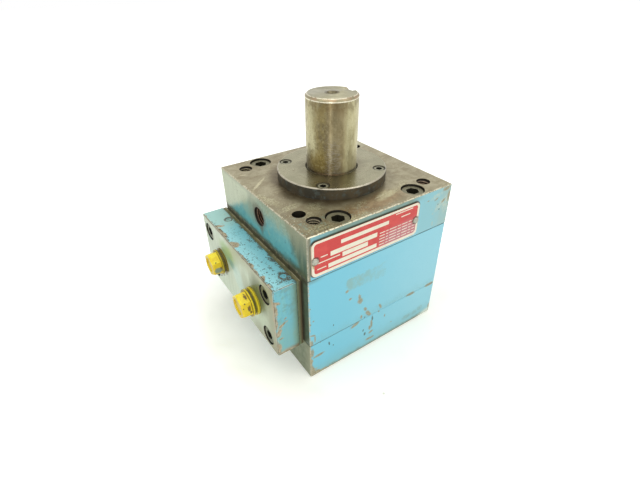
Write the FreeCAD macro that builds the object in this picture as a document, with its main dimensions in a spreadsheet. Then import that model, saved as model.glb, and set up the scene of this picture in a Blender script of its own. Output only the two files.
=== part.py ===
import FreeCAD, Part
import os
import re

import Sketcher

# Hydraulic rotary actuator with a single vane. The frame stands on the rear head: the origin is the
# centre of the base on the shaft's axis, +Z runs up the shaft, -Y is the nameplate side and -X the
# manifold side. The rotor is at mid-stroke, with vane and keyway towards +X.

# Driving dimensions, in millimetres and degrees.
SIZES = {
    # heads and body
    "rear_head_height": 31.0,
    "body_height": 55.5,
    "front_head_height": 31.0,
    "chamber_radius": 44.45,
    "chamber_wall": 14.55,
    "edge_break": 0.5,
    # clearances
    "running_clearance": 0.05,
    "seat_clearance": 0.05,
    "end_gap": 0.15,
    "metal_gap": 0.8,
    "lip_gap": 0.35,
    "screw_clearance": 0.35,
    # rotor
    "shaft_radius": 17.46,
    "shaft_reach": 57.0,
    "shaft_bevel_length": 1.2,
    "shaft_bevel_depth": 1.3,
    "relief_length": 1.2,
    "relief_depth": 0.5,
    "hub_step": 7.94,
    "vane_width": 14.0,
    "keyway_width": 9.5,
    "keyway_depth": 4.8,
    "keyway_length": 41.0,
    "centre_mouth_radius": 3.6,
    "centre_cone_depth": 3.4,
    "centre_pilot_radius": 1.6,
    "centre_pilot_depth": 8.0,
    "journal_bevel": 1.0,
    "journal_gap": 1.5,
    # stator shoe and the seals of shoe and vane
    "shoe_angle": 38.0,
    "seal_width": 3.2,
    "seal_depth": 3.0,
    "shoe_screw_spacing": 26.0,
    "shoe_thread_floor": 3.05,
    # bearings, thrust washers and shaft seal
    "bush_wall": 3.0,
    "washer_thickness": 2.0,
    "washer_margin": 1.4,
    "sump_depth": 5.5,
    "rear_floor": 6.5,
    "gallery_height": 5.0,
    "seal_pocket_depth": 12.0,
    "shaft_seal_wall": 6.7,
    "shaft_seal_lip": 2.0,
    "shaft_seal_cup": 4.5,
    # o-rings between the body and its heads
    "o_ring_inset": 3.8,
    "o_ring_section": 2.3,
    # retainer ring
    "ring_radius": 38.1,
    "ring_height": 7.8,
    "ring_gap": 0.9,
    "ring_bevel": 0.7,
    "ring_spigot": 1.6,
    "ring_screw_inset": 4.9,
    # tie screws
    "tie_edge_x": 28.2,
    "tie_edge_y": 9.4,
    "tie_radius": 4.7,
    "tie_head_radius": 7.15,
    "tie_head_height": 9.5,
    "tie_socket": 7.94,
    "tie_socket_depth": 4.8,
    "tie_bore_gap": 0.8,
    "tie_recess": 1.3,
    "tie_floor": 7.0,
    # mounting holes and dowels
    "mount_edge": 13.8,
    "mount_hole_radius": 4.76,
    "mount_hole_depth": 22.0,
    "dowel_radius": 3.97,
    "dowel_edge_x": 10.5,
    "dowel_edge_y": 25.0,
    "dowel_recess": 12.0,
    "dowel_mouth_step": 0.33,
    "dowel_bite": 8.0,
    # ring screws
    "ring_screw_radius": 2.4,
    "ring_screw_head_radius": 3.95,
    "ring_screw_head_height": 4.8,
    "ring_screw_bore_gap": 0.2,
    "ring_screw_socket": 3.97,
    "ring_screw_socket_depth": 2.4,
    "ring_screw_recess": 0.4,
    "ring_screw_bite": 9.0,
    # drain port
    "drain_radius": 6.7,
    "drain_depth": 14.0,
    "drain_drill_radius": 2.3,
    # manifold and its seal plate
    "manifold_thickness": 16.8,
    "manifold_front_edge": 8.2,
    "manifold_back_reach": 2.1,
    "manifold_top_drop": 3.4,
    "manifold_sink": 3.9,
    "manifold_edge": 0.7,
    "plate_gap_thickness": 2.7,
    "plate_gap_inset": 0.5,
    "port_pitch": 51.6,
    "port_shift": 4.5,
    "upper_port_rise": 1.7,
    "port_radius": 9.55,
    "port_depth": 12.0,
    "passage_radius": 3.5,
    "passage_ring_radius": 6.0,
    "gallery_overlap": 1.2,
    # manifold screws, also used for the shoe
    "cap_radius": 3.97,
    "cap_head_radius": 5.95,
    "cap_head_height": 7.94,
    "cap_socket": 6.35,
    "cap_socket_depth": 4.0,
    "cap_bore_gap": 1.05,
    "cap_recess": 0.8,
    "cap_bite": 11.0,
    "cap_front_inset": 12.6,
    "cap_back_inset": 10.1,
    "cap_top_inset": 11.3,
    "cap_bottom_inset": 9.1,
    # small plugs in the top of the manifold
    "pipe_plug_radius": 2.5,
    "pipe_plug_length": 4.2,
    "pipe_plug_recess": 0.3,
    "pipe_plug_dish": 0.4,
    "pipe_plug_setback": 4.0,
    "pipe_plug_front_inset": 9.6,
    "pipe_plug_back_inset": 19.9,
    # port plugs
    "plug_hex": 15.9,
    "plug_hex_length": 6.8,
    "plug_hex_bevel": 0.9,
    "plug_flange_step": 0.15,
    "plug_flange_length": 1.3,
    "plug_neck_step": 1.15,
    "plug_neck_length": 2.0,
    "plug_collar_step": 0.35,
    "plug_end_gap": 3.0,
    "plug_core_radius": 5.6,
    "plug_core_depth": 1.0,
    "upper_plug_collar": 0.8,
    "lower_plug_collar": 2.0,
    "upper_plug_turn": 28.0,
    "lower_plug_turn": 18.0,
    # nameplate
    "name_length": 85.1,
    "name_height": 24.8,
    "name_thickness": 0.8,
    "name_corner": 3.5,
    "name_edge": 2.2,
    "name_drop": 16.2,
    "name_screw_inset": 2.45,
    "name_screw_drop": 0.9,
    "name_screw_radius": 1.2,
    "name_screw_floor": 1.35,
    "name_dome_radius": 2.3,
    "name_dome_height": 1.2,
}

# Levels and reaches that follow from the driving dimensions.
HALF_WIDTH = "(chamber_radius + chamber_wall)"
BODY_FLOOR = "rear_head_height"
BODY_ROOF = "(rear_head_height + body_height)"
HEAD_TOP = "(rear_head_height + body_height + front_head_height)"
BUSH_RADIUS = "(shaft_radius + running_clearance + bush_wall)"
HUB_RADIUS = "(shaft_radius + hub_step)"
WASHER_RADIUS = f"({HUB_RADIUS} - washer_margin)"
SHAFT_SEAL_RADIUS = "(shaft_radius + lip_gap + shaft_seal_wall)"
FRONT_BUSH_LENGTH = "(front_head_height - washer_thickness - gallery_height - seal_pocket_depth)"
REAR_BUSH_LENGTH = "(rear_head_height - washer_thickness - sump_depth - rear_floor)"
VANE_SEAL_ROOT = f"({HUB_RADIUS} - washer_margin / 2)"
O_RING_RADIUS = "(chamber_radius + o_ring_inset)"
O_RING_GROOVE = "(o_ring_section + 2 * seat_clearance)"
DRAIN_HEIGHT = "(front_head_height - seal_pocket_depth - gallery_height / 2)"
MANIFOLD_MIDDLE = "((body_height - manifold_sink - manifold_top_drop) / 2)"
MANIFOLD_CENTRE = f"(rear_head_height + {MANIFOLD_MIDDLE})"
MANIFOLD_RISE = "((body_height + manifold_sink - manifold_top_drop) / 2)"
MANIFOLD_FRONT = f"(manifold_front_edge - {HALF_WIDTH})"
MANIFOLD_BACK = f"({HALF_WIDTH} + manifold_back_reach)"
MANIFOLD_FACE = "(plate_gap_thickness + manifold_thickness)"
PASSAGE_OFFSET = "(chamber_radius * sin(shoe_angle / 2 * 1 deg) + passage_radius + seat_clearance)"
CAP_BORE_DEPTH = "(cap_head_height + cap_recess)"
CAP_BORE_RADIUS = "(cap_head_radius + cap_bore_gap)"
TIE_BORE_DEPTH = "(tie_head_height + tie_recess)"
TIE_THREAD_DEPTH = "(rear_head_height - tie_floor)"
RING_BORE_DEPTH = "(ring_screw_head_height + ring_screw_recess)"
SHOE_THREAD_DEPTH = f"(chamber_radius - {HUB_RADIUS} - seal_depth - shoe_thread_floor)"
SHAFT_SEAL_HEIGHT = "(seal_pocket_depth - ring_spigot - 2 * seat_clearance)"
NAME_CENTRE = f"(name_edge + name_length / 2 - {HALF_WIDTH})"
NAME_SCREW_BITE = "(tie_edge_y - tie_radius - screw_clearance - name_screw_floor)"
BOTH_SIDES = (-1, 1)

doc = FreeCAD.newDocument("RotaryActuator")
sheet = doc.addObject("Spreadsheet::Sheet", "Sizes")
for row, (size_name, size_value) in enumerate(SIZES.items(), start=1):
    sheet.set(f"A{row}", size_name)
    sheet.set(f"B{row}", str(size_value))
    sheet.setAlias(f"B{row}", size_name)
doc.recompute()

nodes = []


def formula(words):
    """Turn the size names in a plain formula into references to the sheet."""
    return re.sub(r"[a-z]\w*", lambda hit: f"Sizes.{hit[0]}" if hit[0] in SIZES else hit[0], words)


def bind(thing, path, words):
    thing.setExpression(path, formula(words))


def corners_of(reach_x, reach_y):
    """Four places that mirror each other about both axes."""
    return [(f"{side} * {reach_x}", f"{way} * {reach_y}") for side in BOTH_SIDES for way in BOTH_SIDES]


def add_node(thing, x="0", y="0", z="0"):
    """Name a finished sub-part by its object's name and place it in the actuator's frame."""
    thing.Label = thing.Name
    for axis, words in zip("xyz", (x, y, z)):
        bind(thing, f"Placement.Base.{axis}", words)
    nodes.append(thing)


def new_body(name, x="0", y="0", z="0"):
    body = doc.addObject("PartDesign::Body", name)
    add_node(body, x, y, z)
    return body


def new_sketch(body, name, role, offset="0"):
    """A sketch parallel to one of the body's own planes, set off along that plane's normal."""
    plane = next(item for item in body.Origin.OriginFeatures if item.Role == role)
    sketch = body.newObject("Sketcher::SketchObject", f"{body.Name}_{name}")
    sketch.AttachmentSupport = (plane, [""])
    sketch.MapMode = "FlatFace"
    bind(sketch, "AttachmentOffset.Base.z", offset)
    return sketch


def fix_point(sketch, geometry, point, across, up):
    for kind, words in (("DistanceX", across), ("DistanceY", up)):
        index = sketch.addConstraint(Sketcher.Constraint(kind, -1, 1, geometry, point, 1.0))
        bind(sketch, f"Constraints[{index}]", words)


def fix_radius(sketch, geometry, radius):
    index = sketch.addConstraint(Sketcher.Constraint("Radius", geometry, 1.0))
    bind(sketch, f"Constraints[{index}]", radius)


def draw_circles(sketch, centres, radius):
    for across, up in centres:
        circle = Part.Circle(FreeCAD.Vector(0, 0, 0), FreeCAD.Vector(0, 0, 1), 1.0)
        geometry = sketch.addGeometry(circle)
        fix_point(sketch, geometry, 3, across, up)
        fix_radius(sketch, geometry, radius)
    return sketch


def draw_polygon(sketch, corners):
    """A closed outline whose corners all have bound places."""
    first = sketch.GeometryCount
    count = len(corners)
    spread = [FreeCAD.Vector(index, index * index, 0) for index in range(count)]
    for index in range(count):
        sketch.addGeometry(Part.LineSegment(spread[index], spread[(index + 1) % count]))
    for index, (across, up) in enumerate(corners):
        following = first + (index + 1) % count
        sketch.addConstraint(Sketcher.Constraint("Coincident", first + index, 2, following, 1))
        fix_point(sketch, first + index, 1, across, up)
    return sketch


def draw_rectangle(sketch, left, right, low, high):
    return draw_polygon(sketch, [(left, low), (right, low), (right, high), (left, high)])


def draw_hexagons(sketch, centres, flats, turn="0"):
    for across, up in centres:
        corners = []
        for index in range(6):
            angle = f"(({turn}) + {60 * index}) * 1 deg"
            corners.append((
                f"{across} + {flats} / sqrt(3) * cos({angle})",
                f"{up} + {flats} / sqrt(3) * sin({angle})",
            ))
        draw_polygon(sketch, corners)
    return sketch


def u_outline(root, tip, low, high, depth):
    """Corners of a U that runs out along the low edge, up the tip and back along the high edge."""
    inner = f"{tip} - ({depth})"
    under = f"{high} - ({depth})"
    over = f"{low} + ({depth})"
    return [
        (root, low), (tip, low), (tip, high), (root, high),
        (root, under), (inner, under), (inner, over), (root, over),
    ]


def pad(body, name, profile, length, reverse=False, both_ways=False):
    feature = body.newObject("PartDesign::Pad", f"{body.Name}_{name}")
    feature.Profile = profile
    feature.Reversed = reverse
    feature.Midplane = both_ways
    bind(feature, "Length", length)
    doc.recompute()
    return feature


def must_shrink(body, name, before):
    doc.recompute()
    if not body.Shape.Volume < before:
        raise RuntimeError(f"{body.Name}: {name} removes nothing")


def pocket(body, name, profile, depth=None, reverse=False, both_ways=False):
    """Cut a profile into the body, right through it where no depth is given."""
    before = body.Shape.Volume
    feature = body.newObject("PartDesign::Pocket", f"{body.Name}_{name}")
    feature.Profile = profile
    feature.Reversed = reverse
    feature.Midplane = both_ways
    if depth is None:
        feature.Type = "ThroughAll"
    else:
        bind(feature, "Length", depth)
    must_shrink(body, name, before)
    return feature


def turned(body, name, corners, axis="V_Axis", sector=None):
    """Revolve an outline, drawn on the XZ plane, fully or by a sector centred on that plane."""
    profile = draw_polygon(new_sketch(body, f"{name}_profile", "XZ_Plane"), corners)
    feature = body.newObject("PartDesign::Revolution", f"{body.Name}_{name}")
    feature.Profile = profile
    feature.ReferenceAxis = (profile, [axis])
    if sector is not None:
        feature.Midplane = True
        bind(feature, "Angle", sector)
    doc.recompute()
    return feature


def bored(body, name, corners):
    """Turn an outline, drawn on the XZ plane, out of the body."""
    before = body.Shape.Volume
    profile = draw_polygon(new_sketch(body, f"{name}_profile", "XZ_Plane"), corners)
    feature = body.newObject("PartDesign::Groove", f"{body.Name}_{name}")
    feature.Profile = profile
    feature.ReferenceAxis = (profile, ["V_Axis"])
    must_shrink(body, name, before)
    return feature


def break_edges(body, feature, size):
    chamfer = body.newObject("PartDesign::Chamfer", f"{feature.Name}_edges")
    chamfer.Base = (feature, [f"Edge{index + 1}" for index in range(len(feature.Shape.Edges))])
    bind(chamfer, "Size", size)
    doc.recompute()
    return chamfer


def low_rims(feature, axis):
    """Names of the edges on the face where a shape ends, at its lowest X or Y."""
    end = getattr(feature.Shape.BoundBox, f"{axis}Min") + SIZES["seat_clearance"]
    return [
        f"Edge{index}" for index, edge in enumerate(feature.Shape.Edges, start=1)
        if getattr(edge.BoundBox, f"{axis}Max") < end
    ]


def square_block(name, height, z="0"):
    """A square slab with broken edges, the start of each head and of the body."""
    body = new_body(name, z=z)
    outline = new_sketch(body, "outline", "XY_Plane")
    draw_rectangle(outline, f"-{HALF_WIDTH}", HALF_WIDTH, f"-{HALF_WIDTH}", HALF_WIDTH)
    break_edges(body, pad(body, "slab", outline, height), "edge_break")
    return body


def holes(body, name, centres, radius, mouth="0", depth=None, role="XY_Plane", reverse=False):
    profile = draw_circles(new_sketch(body, f"{name}_circles", role, mouth), centres, radius)
    return pocket(body, name, profile, depth, reverse)


def plain_ring(name, inner, outer, height, z):
    body = new_body(name, z=z)
    turned(body, "turning", [(inner, "0"), (outer, "0"), (outer, height), (inner, height)])
    return body


def socket_screws(body, role, centres, shank, screw, heads_along_normal):
    """Socket-head screws side by side. The plane of the sketches lies under the heads."""
    side = 1 if heads_along_normal else -1
    shanks = draw_circles(new_sketch(body, "shank_circles", role), centres, f"{screw}_radius")
    pad(body, "shanks", shanks, shank, reverse=heads_along_normal)
    heads = draw_circles(new_sketch(body, "head_circles", role), centres, f"{screw}_head_radius")
    pad(body, "heads", heads, f"{screw}_head_height", reverse=not heads_along_normal)
    sockets = new_sketch(body, "socket_hexagons", role, f"{side} * {screw}_head_height")
    draw_hexagons(sockets, centres, f"{screw}_socket")
    pocket(body, "sockets", sockets, f"{screw}_socket_depth", reverse=not heads_along_normal)


TIE_CENTRES = corners_of(f"({HALF_WIDTH} - tie_edge_x)", f"({HALF_WIDTH} - tie_edge_y)")
MOUNT_CENTRES = corners_of(f"({HALF_WIDTH} - mount_edge)", f"({HALF_WIDTH} - mount_edge)")
DOWEL_X = f"({HALF_WIDTH} - dowel_edge_x)"
DOWEL_Y = f"({HALF_WIDTH} - dowel_edge_y)"
FRONT_DOWEL_CENTRES = [(f"{side} * {DOWEL_X}", f"{side} * {DOWEL_Y}") for side in BOTH_SIDES]
REAR_DOWEL_CENTRES = [(f"{side} * {DOWEL_X}", f"-{side} * {DOWEL_Y}") for side in BOTH_SIDES]
RING_SCREW_REACH = "(ring_radius - ring_screw_inset) * cos(45 deg)"
RING_SCREW_CENTRES = corners_of(RING_SCREW_REACH, RING_SCREW_REACH)
CAP_CENTRES = [
    (across, up)
    for across in (f"{MANIFOLD_FRONT} + cap_front_inset", f"{MANIFOLD_BACK} - cap_back_inset")
    for up in (f"cap_bottom_inset - {MANIFOLD_RISE}", f"{MANIFOLD_RISE} - cap_top_inset")
]
SHOE_SCREW_CENTRES = [("0", f"{side} * shoe_screw_spacing / 2") for side in BOTH_SIDES]
PORT_CENTRES = [
    ("port_shift - port_pitch / 2", "0"),
    ("port_shift + port_pitch / 2", "upper_port_rise"),
]
PASSAGE_CENTRES = [(f"{side} * {PASSAGE_OFFSET}", "0") for side in BOTH_SIDES]
NAME_SCREW_CENTRES = [
    (f"{NAME_CENTRE} + {side} * (name_length / 2 - name_screw_inset)", "-name_screw_drop")
    for side in BOTH_SIDES
]
PIPE_PLUG_CENTRES = [
    ("-(plate_gap_thickness + pipe_plug_setback)", across)
    for across in (f"{MANIFOLD_FRONT} + pipe_plug_front_inset", f"{MANIFOLD_BACK} - pipe_plug_back_inset")
]


def make_rear_head():
    body = square_block("rear_head", "rear_head_height")
    washer = f"{WASHER_RADIUS} + seat_clearance"
    seat = f"{BUSH_RADIUS} + seat_clearance"
    shoulder = "rear_head_height - washer_thickness"
    bored(body, "shaft_bore", [
        ("0", "rear_floor"), (seat, "rear_floor"), (seat, shoulder),
        (washer, shoulder), (washer, "rear_head_height"), ("0", "rear_head_height"),
    ])
    holes(body, "tie_threads", TIE_CENTRES, "tie_radius + seat_clearance", "rear_head_height",
          f"{TIE_THREAD_DEPTH} + tie_recess")
    holes(body, "dowel_holes", REAR_DOWEL_CENTRES, "dowel_radius + seat_clearance",
          "rear_head_height", "dowel_bite + seat_clearance")


def make_stator_housing():
    body = square_block("stator_housing", "body_height", BODY_FLOOR)
    holes(body, "chamber", [("0", "0")], "chamber_radius", "body_height")
    groove_inner = f"{O_RING_RADIUS} - {O_RING_GROOVE} / 2"
    groove_outer = f"{O_RING_RADIUS} + {O_RING_GROOVE} / 2"
    for name, face, floor in (("rear_groove", "0", O_RING_GROOVE),
                              ("front_groove", "body_height", f"body_height - {O_RING_GROOVE}")):
        bored(body, name, [
            (groove_inner, face), (groove_outer, face), (groove_outer, floor), (groove_inner, floor),
        ])
    holes(body, "tie_holes", TIE_CENTRES, "tie_radius + screw_clearance", "body_height")
    holes(body, "front_dowel_holes", FRONT_DOWEL_CENTRES, "dowel_radius + seat_clearance",
          "body_height", "dowel_bite + seat_clearance")
    holes(body, "rear_dowel_holes", REAR_DOWEL_CENTRES, "dowel_radius + seat_clearance",
          "0", "dowel_bite + seat_clearance", reverse=True)
    side = f"-{HALF_WIDTH}"
    middle = "body_height / 2"
    shoe_screws = [(across, f"{middle} + {up}") for across, up in SHOE_SCREW_CENTRES]
    caps = [(across, f"{MANIFOLD_MIDDLE} + {up}") for across, up in CAP_CENTRES]
    passages = [(across, MANIFOLD_MIDDLE) for across, up in PASSAGE_CENTRES]
    holes(body, "shoe_screw_bores", shoe_screws, CAP_BORE_RADIUS, side, CAP_BORE_DEPTH,
          "YZ_Plane", True)
    holes(body, "shoe_screw_holes", shoe_screws, "cap_radius + screw_clearance", side,
          HALF_WIDTH, "YZ_Plane", True)
    holes(body, "cap_threads", caps, "cap_radius + seat_clearance", side, "cap_bite + cap_recess",
          "YZ_Plane", True)
    holes(body, "passages", passages, "passage_radius", side, HALF_WIDTH, "YZ_Plane", True)


def make_front_head():
    body = square_block("front_head", "front_head_height", BODY_ROOF)
    washer = f"{WASHER_RADIUS} + seat_clearance"
    seat = f"{BUSH_RADIUS} + seat_clearance"
    cup = f"{SHAFT_SEAL_RADIUS} + seat_clearance"
    shelf = "front_head_height - seal_pocket_depth"
    bored(body, "shaft_bore", [
        ("0", "0"), (washer, "0"), (washer, "washer_thickness"), (seat, "washer_thickness"),
        (seat, shelf), (cup, shelf), (cup, "front_head_height"), ("0", "front_head_height"),
    ])
    top = "front_head_height"
    holes(body, "tie_holes", TIE_CENTRES, "tie_radius + screw_clearance", top)
    holes(body, "tie_bores", TIE_CENTRES, "tie_head_radius + tie_bore_gap", top, TIE_BORE_DEPTH)
    holes(body, "mount_holes", MOUNT_CENTRES, "mount_hole_radius", top, "mount_hole_depth")
    holes(body, "dowel_holes", FRONT_DOWEL_CENTRES, "dowel_radius + seat_clearance", top)
    holes(body, "dowel_mouths", FRONT_DOWEL_CENTRES, "dowel_radius + dowel_mouth_step", top,
          "dowel_recess")
    holes(body, "ring_threads", RING_SCREW_CENTRES, "ring_screw_radius + seat_clearance", top,
          "ring_screw_bite + ring_screw_recess")
    side = f"-{HALF_WIDTH}"
    holes(body, "drain_port", [("0", DRAIN_HEIGHT)], "drain_radius", side, "drain_depth",
          "YZ_Plane", True)
    holes(body, "drain_drill", [("0", DRAIN_HEIGHT)], "drain_drill_radius", side,
          f"{HALF_WIDTH} - shaft_radius", "YZ_Plane", True)
    rivets = [(across, f"front_head_height - name_drop + {up}") for across, up in NAME_SCREW_CENTRES]
    holes(body, "name_screw_holes", rivets, "name_screw_radius + seat_clearance", HALF_WIDTH,
          NAME_SCREW_BITE, "XZ_Plane")


def make_rotor_shaft():
    body = new_body("rotor_shaft")
    foot = "rear_floor + journal_gap"
    top = f"({HEAD_TOP} + shaft_reach)"
    ring_top = f"({HEAD_TOP} + ring_height)"
    hub_floor = f"({BODY_FLOOR} + end_gap)"
    hub_roof = f"({BODY_ROOF} - end_gap)"
    turned(body, "turning", [
        ("0", foot),
        ("shaft_radius - journal_bevel", foot),
        ("shaft_radius", f"{foot} + journal_bevel"),
        ("shaft_radius", hub_floor),
        (HUB_RADIUS, hub_floor),
        (HUB_RADIUS, hub_roof),
        ("shaft_radius", hub_roof),
        ("shaft_radius", f"{ring_top} - relief_length / 2"),
        ("shaft_radius - relief_depth", f"{ring_top} - relief_length / 2"),
        ("shaft_radius - relief_depth", f"{ring_top} + relief_length / 2"),
        ("shaft_radius", f"{ring_top} + relief_length / 2"),
        ("shaft_radius", f"{top} - shaft_bevel_length"),
        ("shaft_radius - shaft_bevel_depth", top),
        ("centre_mouth_radius", top),
        ("centre_pilot_radius", f"{top} - centre_cone_depth"),
        ("centre_pilot_radius", f"{top} - centre_pilot_depth"),
        ("0", f"{top} - centre_pilot_depth"),
    ])
    vane = new_sketch(body, "vane_outline", "XY_Plane", hub_floor)
    draw_rectangle(vane, "0", "chamber_radius", "-vane_width / 2", "vane_width / 2")
    pad(body, "vane", vane, f"{hub_roof} - {hub_floor}")
    vane_tip = "chamber_radius - metal_gap"
    beyond = "chamber_radius + vane_width / 2"
    bored(body, "vane_tip", [
        (vane_tip, hub_floor), (beyond, hub_floor), (beyond, hub_roof), (vane_tip, hub_roof),
    ])
    groove = new_sketch(body, "seal_groove_outline", "XZ_Plane")
    draw_polygon(groove, u_outline(
        VANE_SEAL_ROOT, "chamber_radius", hub_floor, hub_roof, "seal_depth + metal_gap"))
    pocket(body, "seal_groove", groove, "seal_width", both_ways=True)
    key_floor = "shaft_radius - keyway_depth"
    key_end = f"{top} - keyway_length + keyway_width / 2"
    slot = new_sketch(body, "keyway_sides", "YZ_Plane", key_floor)
    draw_rectangle(slot, "-keyway_width / 2", "keyway_width / 2", key_end, top)
    pocket(body, "keyway", slot, "keyway_depth", reverse=True)
    holes(body, "keyway_end", [("0", key_end)], "keyway_width / 2", key_floor, "keyway_depth",
          "YZ_Plane", True)


def make_vane_seal():
    body = new_body("vane_seal", z=BODY_FLOOR)
    outline = new_sketch(body, "outline", "XZ_Plane")
    draw_polygon(outline, u_outline(
        f"{VANE_SEAL_ROOT} + seat_clearance", "chamber_radius - lip_gap", "end_gap",
        "(body_height - end_gap)", "seal_depth + metal_gap - lip_gap - seat_clearance"))
    pad(body, "strip", outline, "seal_width - 2 * seat_clearance", both_ways=True)


def make_stator_shoe():
    body = new_body("stator_shoe", z=BODY_FLOOR)
    back = "-(chamber_radius - seat_clearance)"
    front = f"-({HUB_RADIUS} + metal_gap)"
    floor = "seat_clearance"
    roof = "(body_height - seat_clearance)"
    turned(body, "sector", [(back, floor), (front, floor), (front, roof), (back, roof)],
           sector="shoe_angle")
    groove = new_sketch(body, "seal_groove_outline", "XZ_Plane")
    beyond = "-(chamber_radius + seal_width)"
    draw_polygon(groove, u_outline(beyond, f"-{HUB_RADIUS}", floor, roof, "seal_depth"))
    pocket(body, "seal_groove", groove, "seal_width", both_ways=True)
    threads = [(across, f"body_height / 2 + {up}") for across, up in SHOE_SCREW_CENTRES]
    holes(body, "screw_threads", threads, "cap_radius + seat_clearance", "-chamber_radius",
          f"{SHOE_THREAD_DEPTH} + seat_clearance", "YZ_Plane", True)


def make_shoe_seal():
    body = new_body("shoe_seal", z=BODY_FLOOR)
    outline = new_sketch(body, "outline", "XZ_Plane")
    draw_polygon(outline, u_outline(
        "-(chamber_radius - 2 * seat_clearance)", f"-({HUB_RADIUS} + lip_gap)", "seat_clearance",
        "(body_height - seat_clearance)", "seal_depth - lip_gap - seat_clearance"))
    pad(body, "strip", outline, "seal_width - 2 * seat_clearance", both_ways=True)


def make_shoe_screws():
    body = new_body("shoe_screws", x=f"-{HALF_WIDTH} + {CAP_BORE_DEPTH}",
                    z=f"{BODY_FLOOR} + body_height / 2")
    shank = f"chamber_wall - {CAP_BORE_DEPTH} + {SHOE_THREAD_DEPTH} - seat_clearance"
    socket_screws(body, "YZ_Plane", SHOE_SCREW_CENTRES, shank, "cap", False)


def make_bearings():
    inner = "shaft_radius + running_clearance"
    plain_ring("front_bearing", inner, BUSH_RADIUS, FRONT_BUSH_LENGTH,
               f"{BODY_ROOF} + washer_thickness")
    plain_ring("rear_bearing", inner, BUSH_RADIUS, REAR_BUSH_LENGTH, "rear_floor + sump_depth")
    plain_ring("front_thrust_washer", "shaft_radius + lip_gap", WASHER_RADIUS, "washer_thickness",
               BODY_ROOF)
    plain_ring("rear_thrust_washer", "shaft_radius + lip_gap", WASHER_RADIUS, "washer_thickness",
               f"{BODY_FLOOR} - washer_thickness")


def make_shaft_seal():
    body = new_body("shaft_seal", z=f"{HEAD_TOP} - seal_pocket_depth")
    inner = "(shaft_radius + lip_gap)"
    lip = f"{inner} + shaft_seal_lip"
    heel = f"{SHAFT_SEAL_RADIUS} - shaft_seal_lip"
    turned(body, "turning", [
        (inner, "0"), (lip, "0"), (lip, "shaft_seal_cup"), (heel, "shaft_seal_cup"), (heel, "0"),
        (SHAFT_SEAL_RADIUS, "0"), (SHAFT_SEAL_RADIUS, SHAFT_SEAL_HEIGHT),
        (inner, SHAFT_SEAL_HEIGHT),
    ])


def make_body_o_rings():
    for name, level in (("front_body_o_ring", f"{BODY_ROOF} - {O_RING_GROOVE} / 2"),
                        ("rear_body_o_ring", f"{BODY_FLOOR} + {O_RING_GROOVE} / 2")):
        ring = doc.addObject("Part::Torus", name)
        bind(ring, "Radius1", O_RING_RADIUS)
        bind(ring, "Radius2", "o_ring_section / 2")
        add_node(ring, z=level)


def make_retainer_ring():
    body = new_body("retainer_ring", z=HEAD_TOP)
    inner = "shaft_radius + ring_gap"
    turned(body, "turning", [
        (inner, "-ring_spigot"), (SHAFT_SEAL_RADIUS, "-ring_spigot"), (SHAFT_SEAL_RADIUS, "0"),
        ("ring_radius", "0"), ("ring_radius", "ring_height - ring_bevel"),
        ("ring_radius - ring_bevel", "ring_height"), (inner, "ring_height"),
    ])
    holes(body, "screw_holes", RING_SCREW_CENTRES, "ring_screw_radius + screw_clearance", "ring_height")
    holes(body, "screw_bores", RING_SCREW_CENTRES, "ring_screw_head_radius + ring_screw_bore_gap",
          "ring_height", RING_BORE_DEPTH)


def make_retainer_screws():
    body = new_body("retainer_screws", z=f"{HEAD_TOP} + ring_height - {RING_BORE_DEPTH}")
    shank = f"ring_height - {RING_BORE_DEPTH} + ring_screw_bite"
    socket_screws(body, "XY_Plane", RING_SCREW_CENTRES, shank, "ring_screw", True)


def make_tie_screws():
    body = new_body("tie_screws", z=f"{HEAD_TOP} - {TIE_BORE_DEPTH}")
    shank = f"front_head_height - {TIE_BORE_DEPTH} + body_height + {TIE_THREAD_DEPTH}"
    socket_screws(body, "XY_Plane", TIE_CENTRES, shank, "tie", True)


def make_dowels():
    for name, centres, seam, above in (
            ("front_dowels", FRONT_DOWEL_CENTRES, BODY_ROOF, "front_head_height - dowel_recess"),
            ("rear_dowels", REAR_DOWEL_CENTRES, BODY_FLOOR, "dowel_bite")):
        body = new_body(name, z=seam)
        pins = draw_circles(new_sketch(body, "circles", "XY_Plane", "-dowel_bite"), centres,
                            "dowel_radius")
        pad(body, "pins", pins, f"dowel_bite + {above}")


def manifold_body(name):
    """A body whose own origin lies on the body's side face, at the manifold's middle height."""
    return new_body(name, x=f"-{HALF_WIDTH}", z=MANIFOLD_CENTRE)


def draw_manifold_outline(sketch, inset):
    rise = f"({MANIFOLD_RISE} - {inset})"
    return draw_rectangle(sketch, f"{MANIFOLD_FRONT} + {inset}", f"{MANIFOLD_BACK} - {inset}",
                          f"-{rise}", rise)


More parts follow.
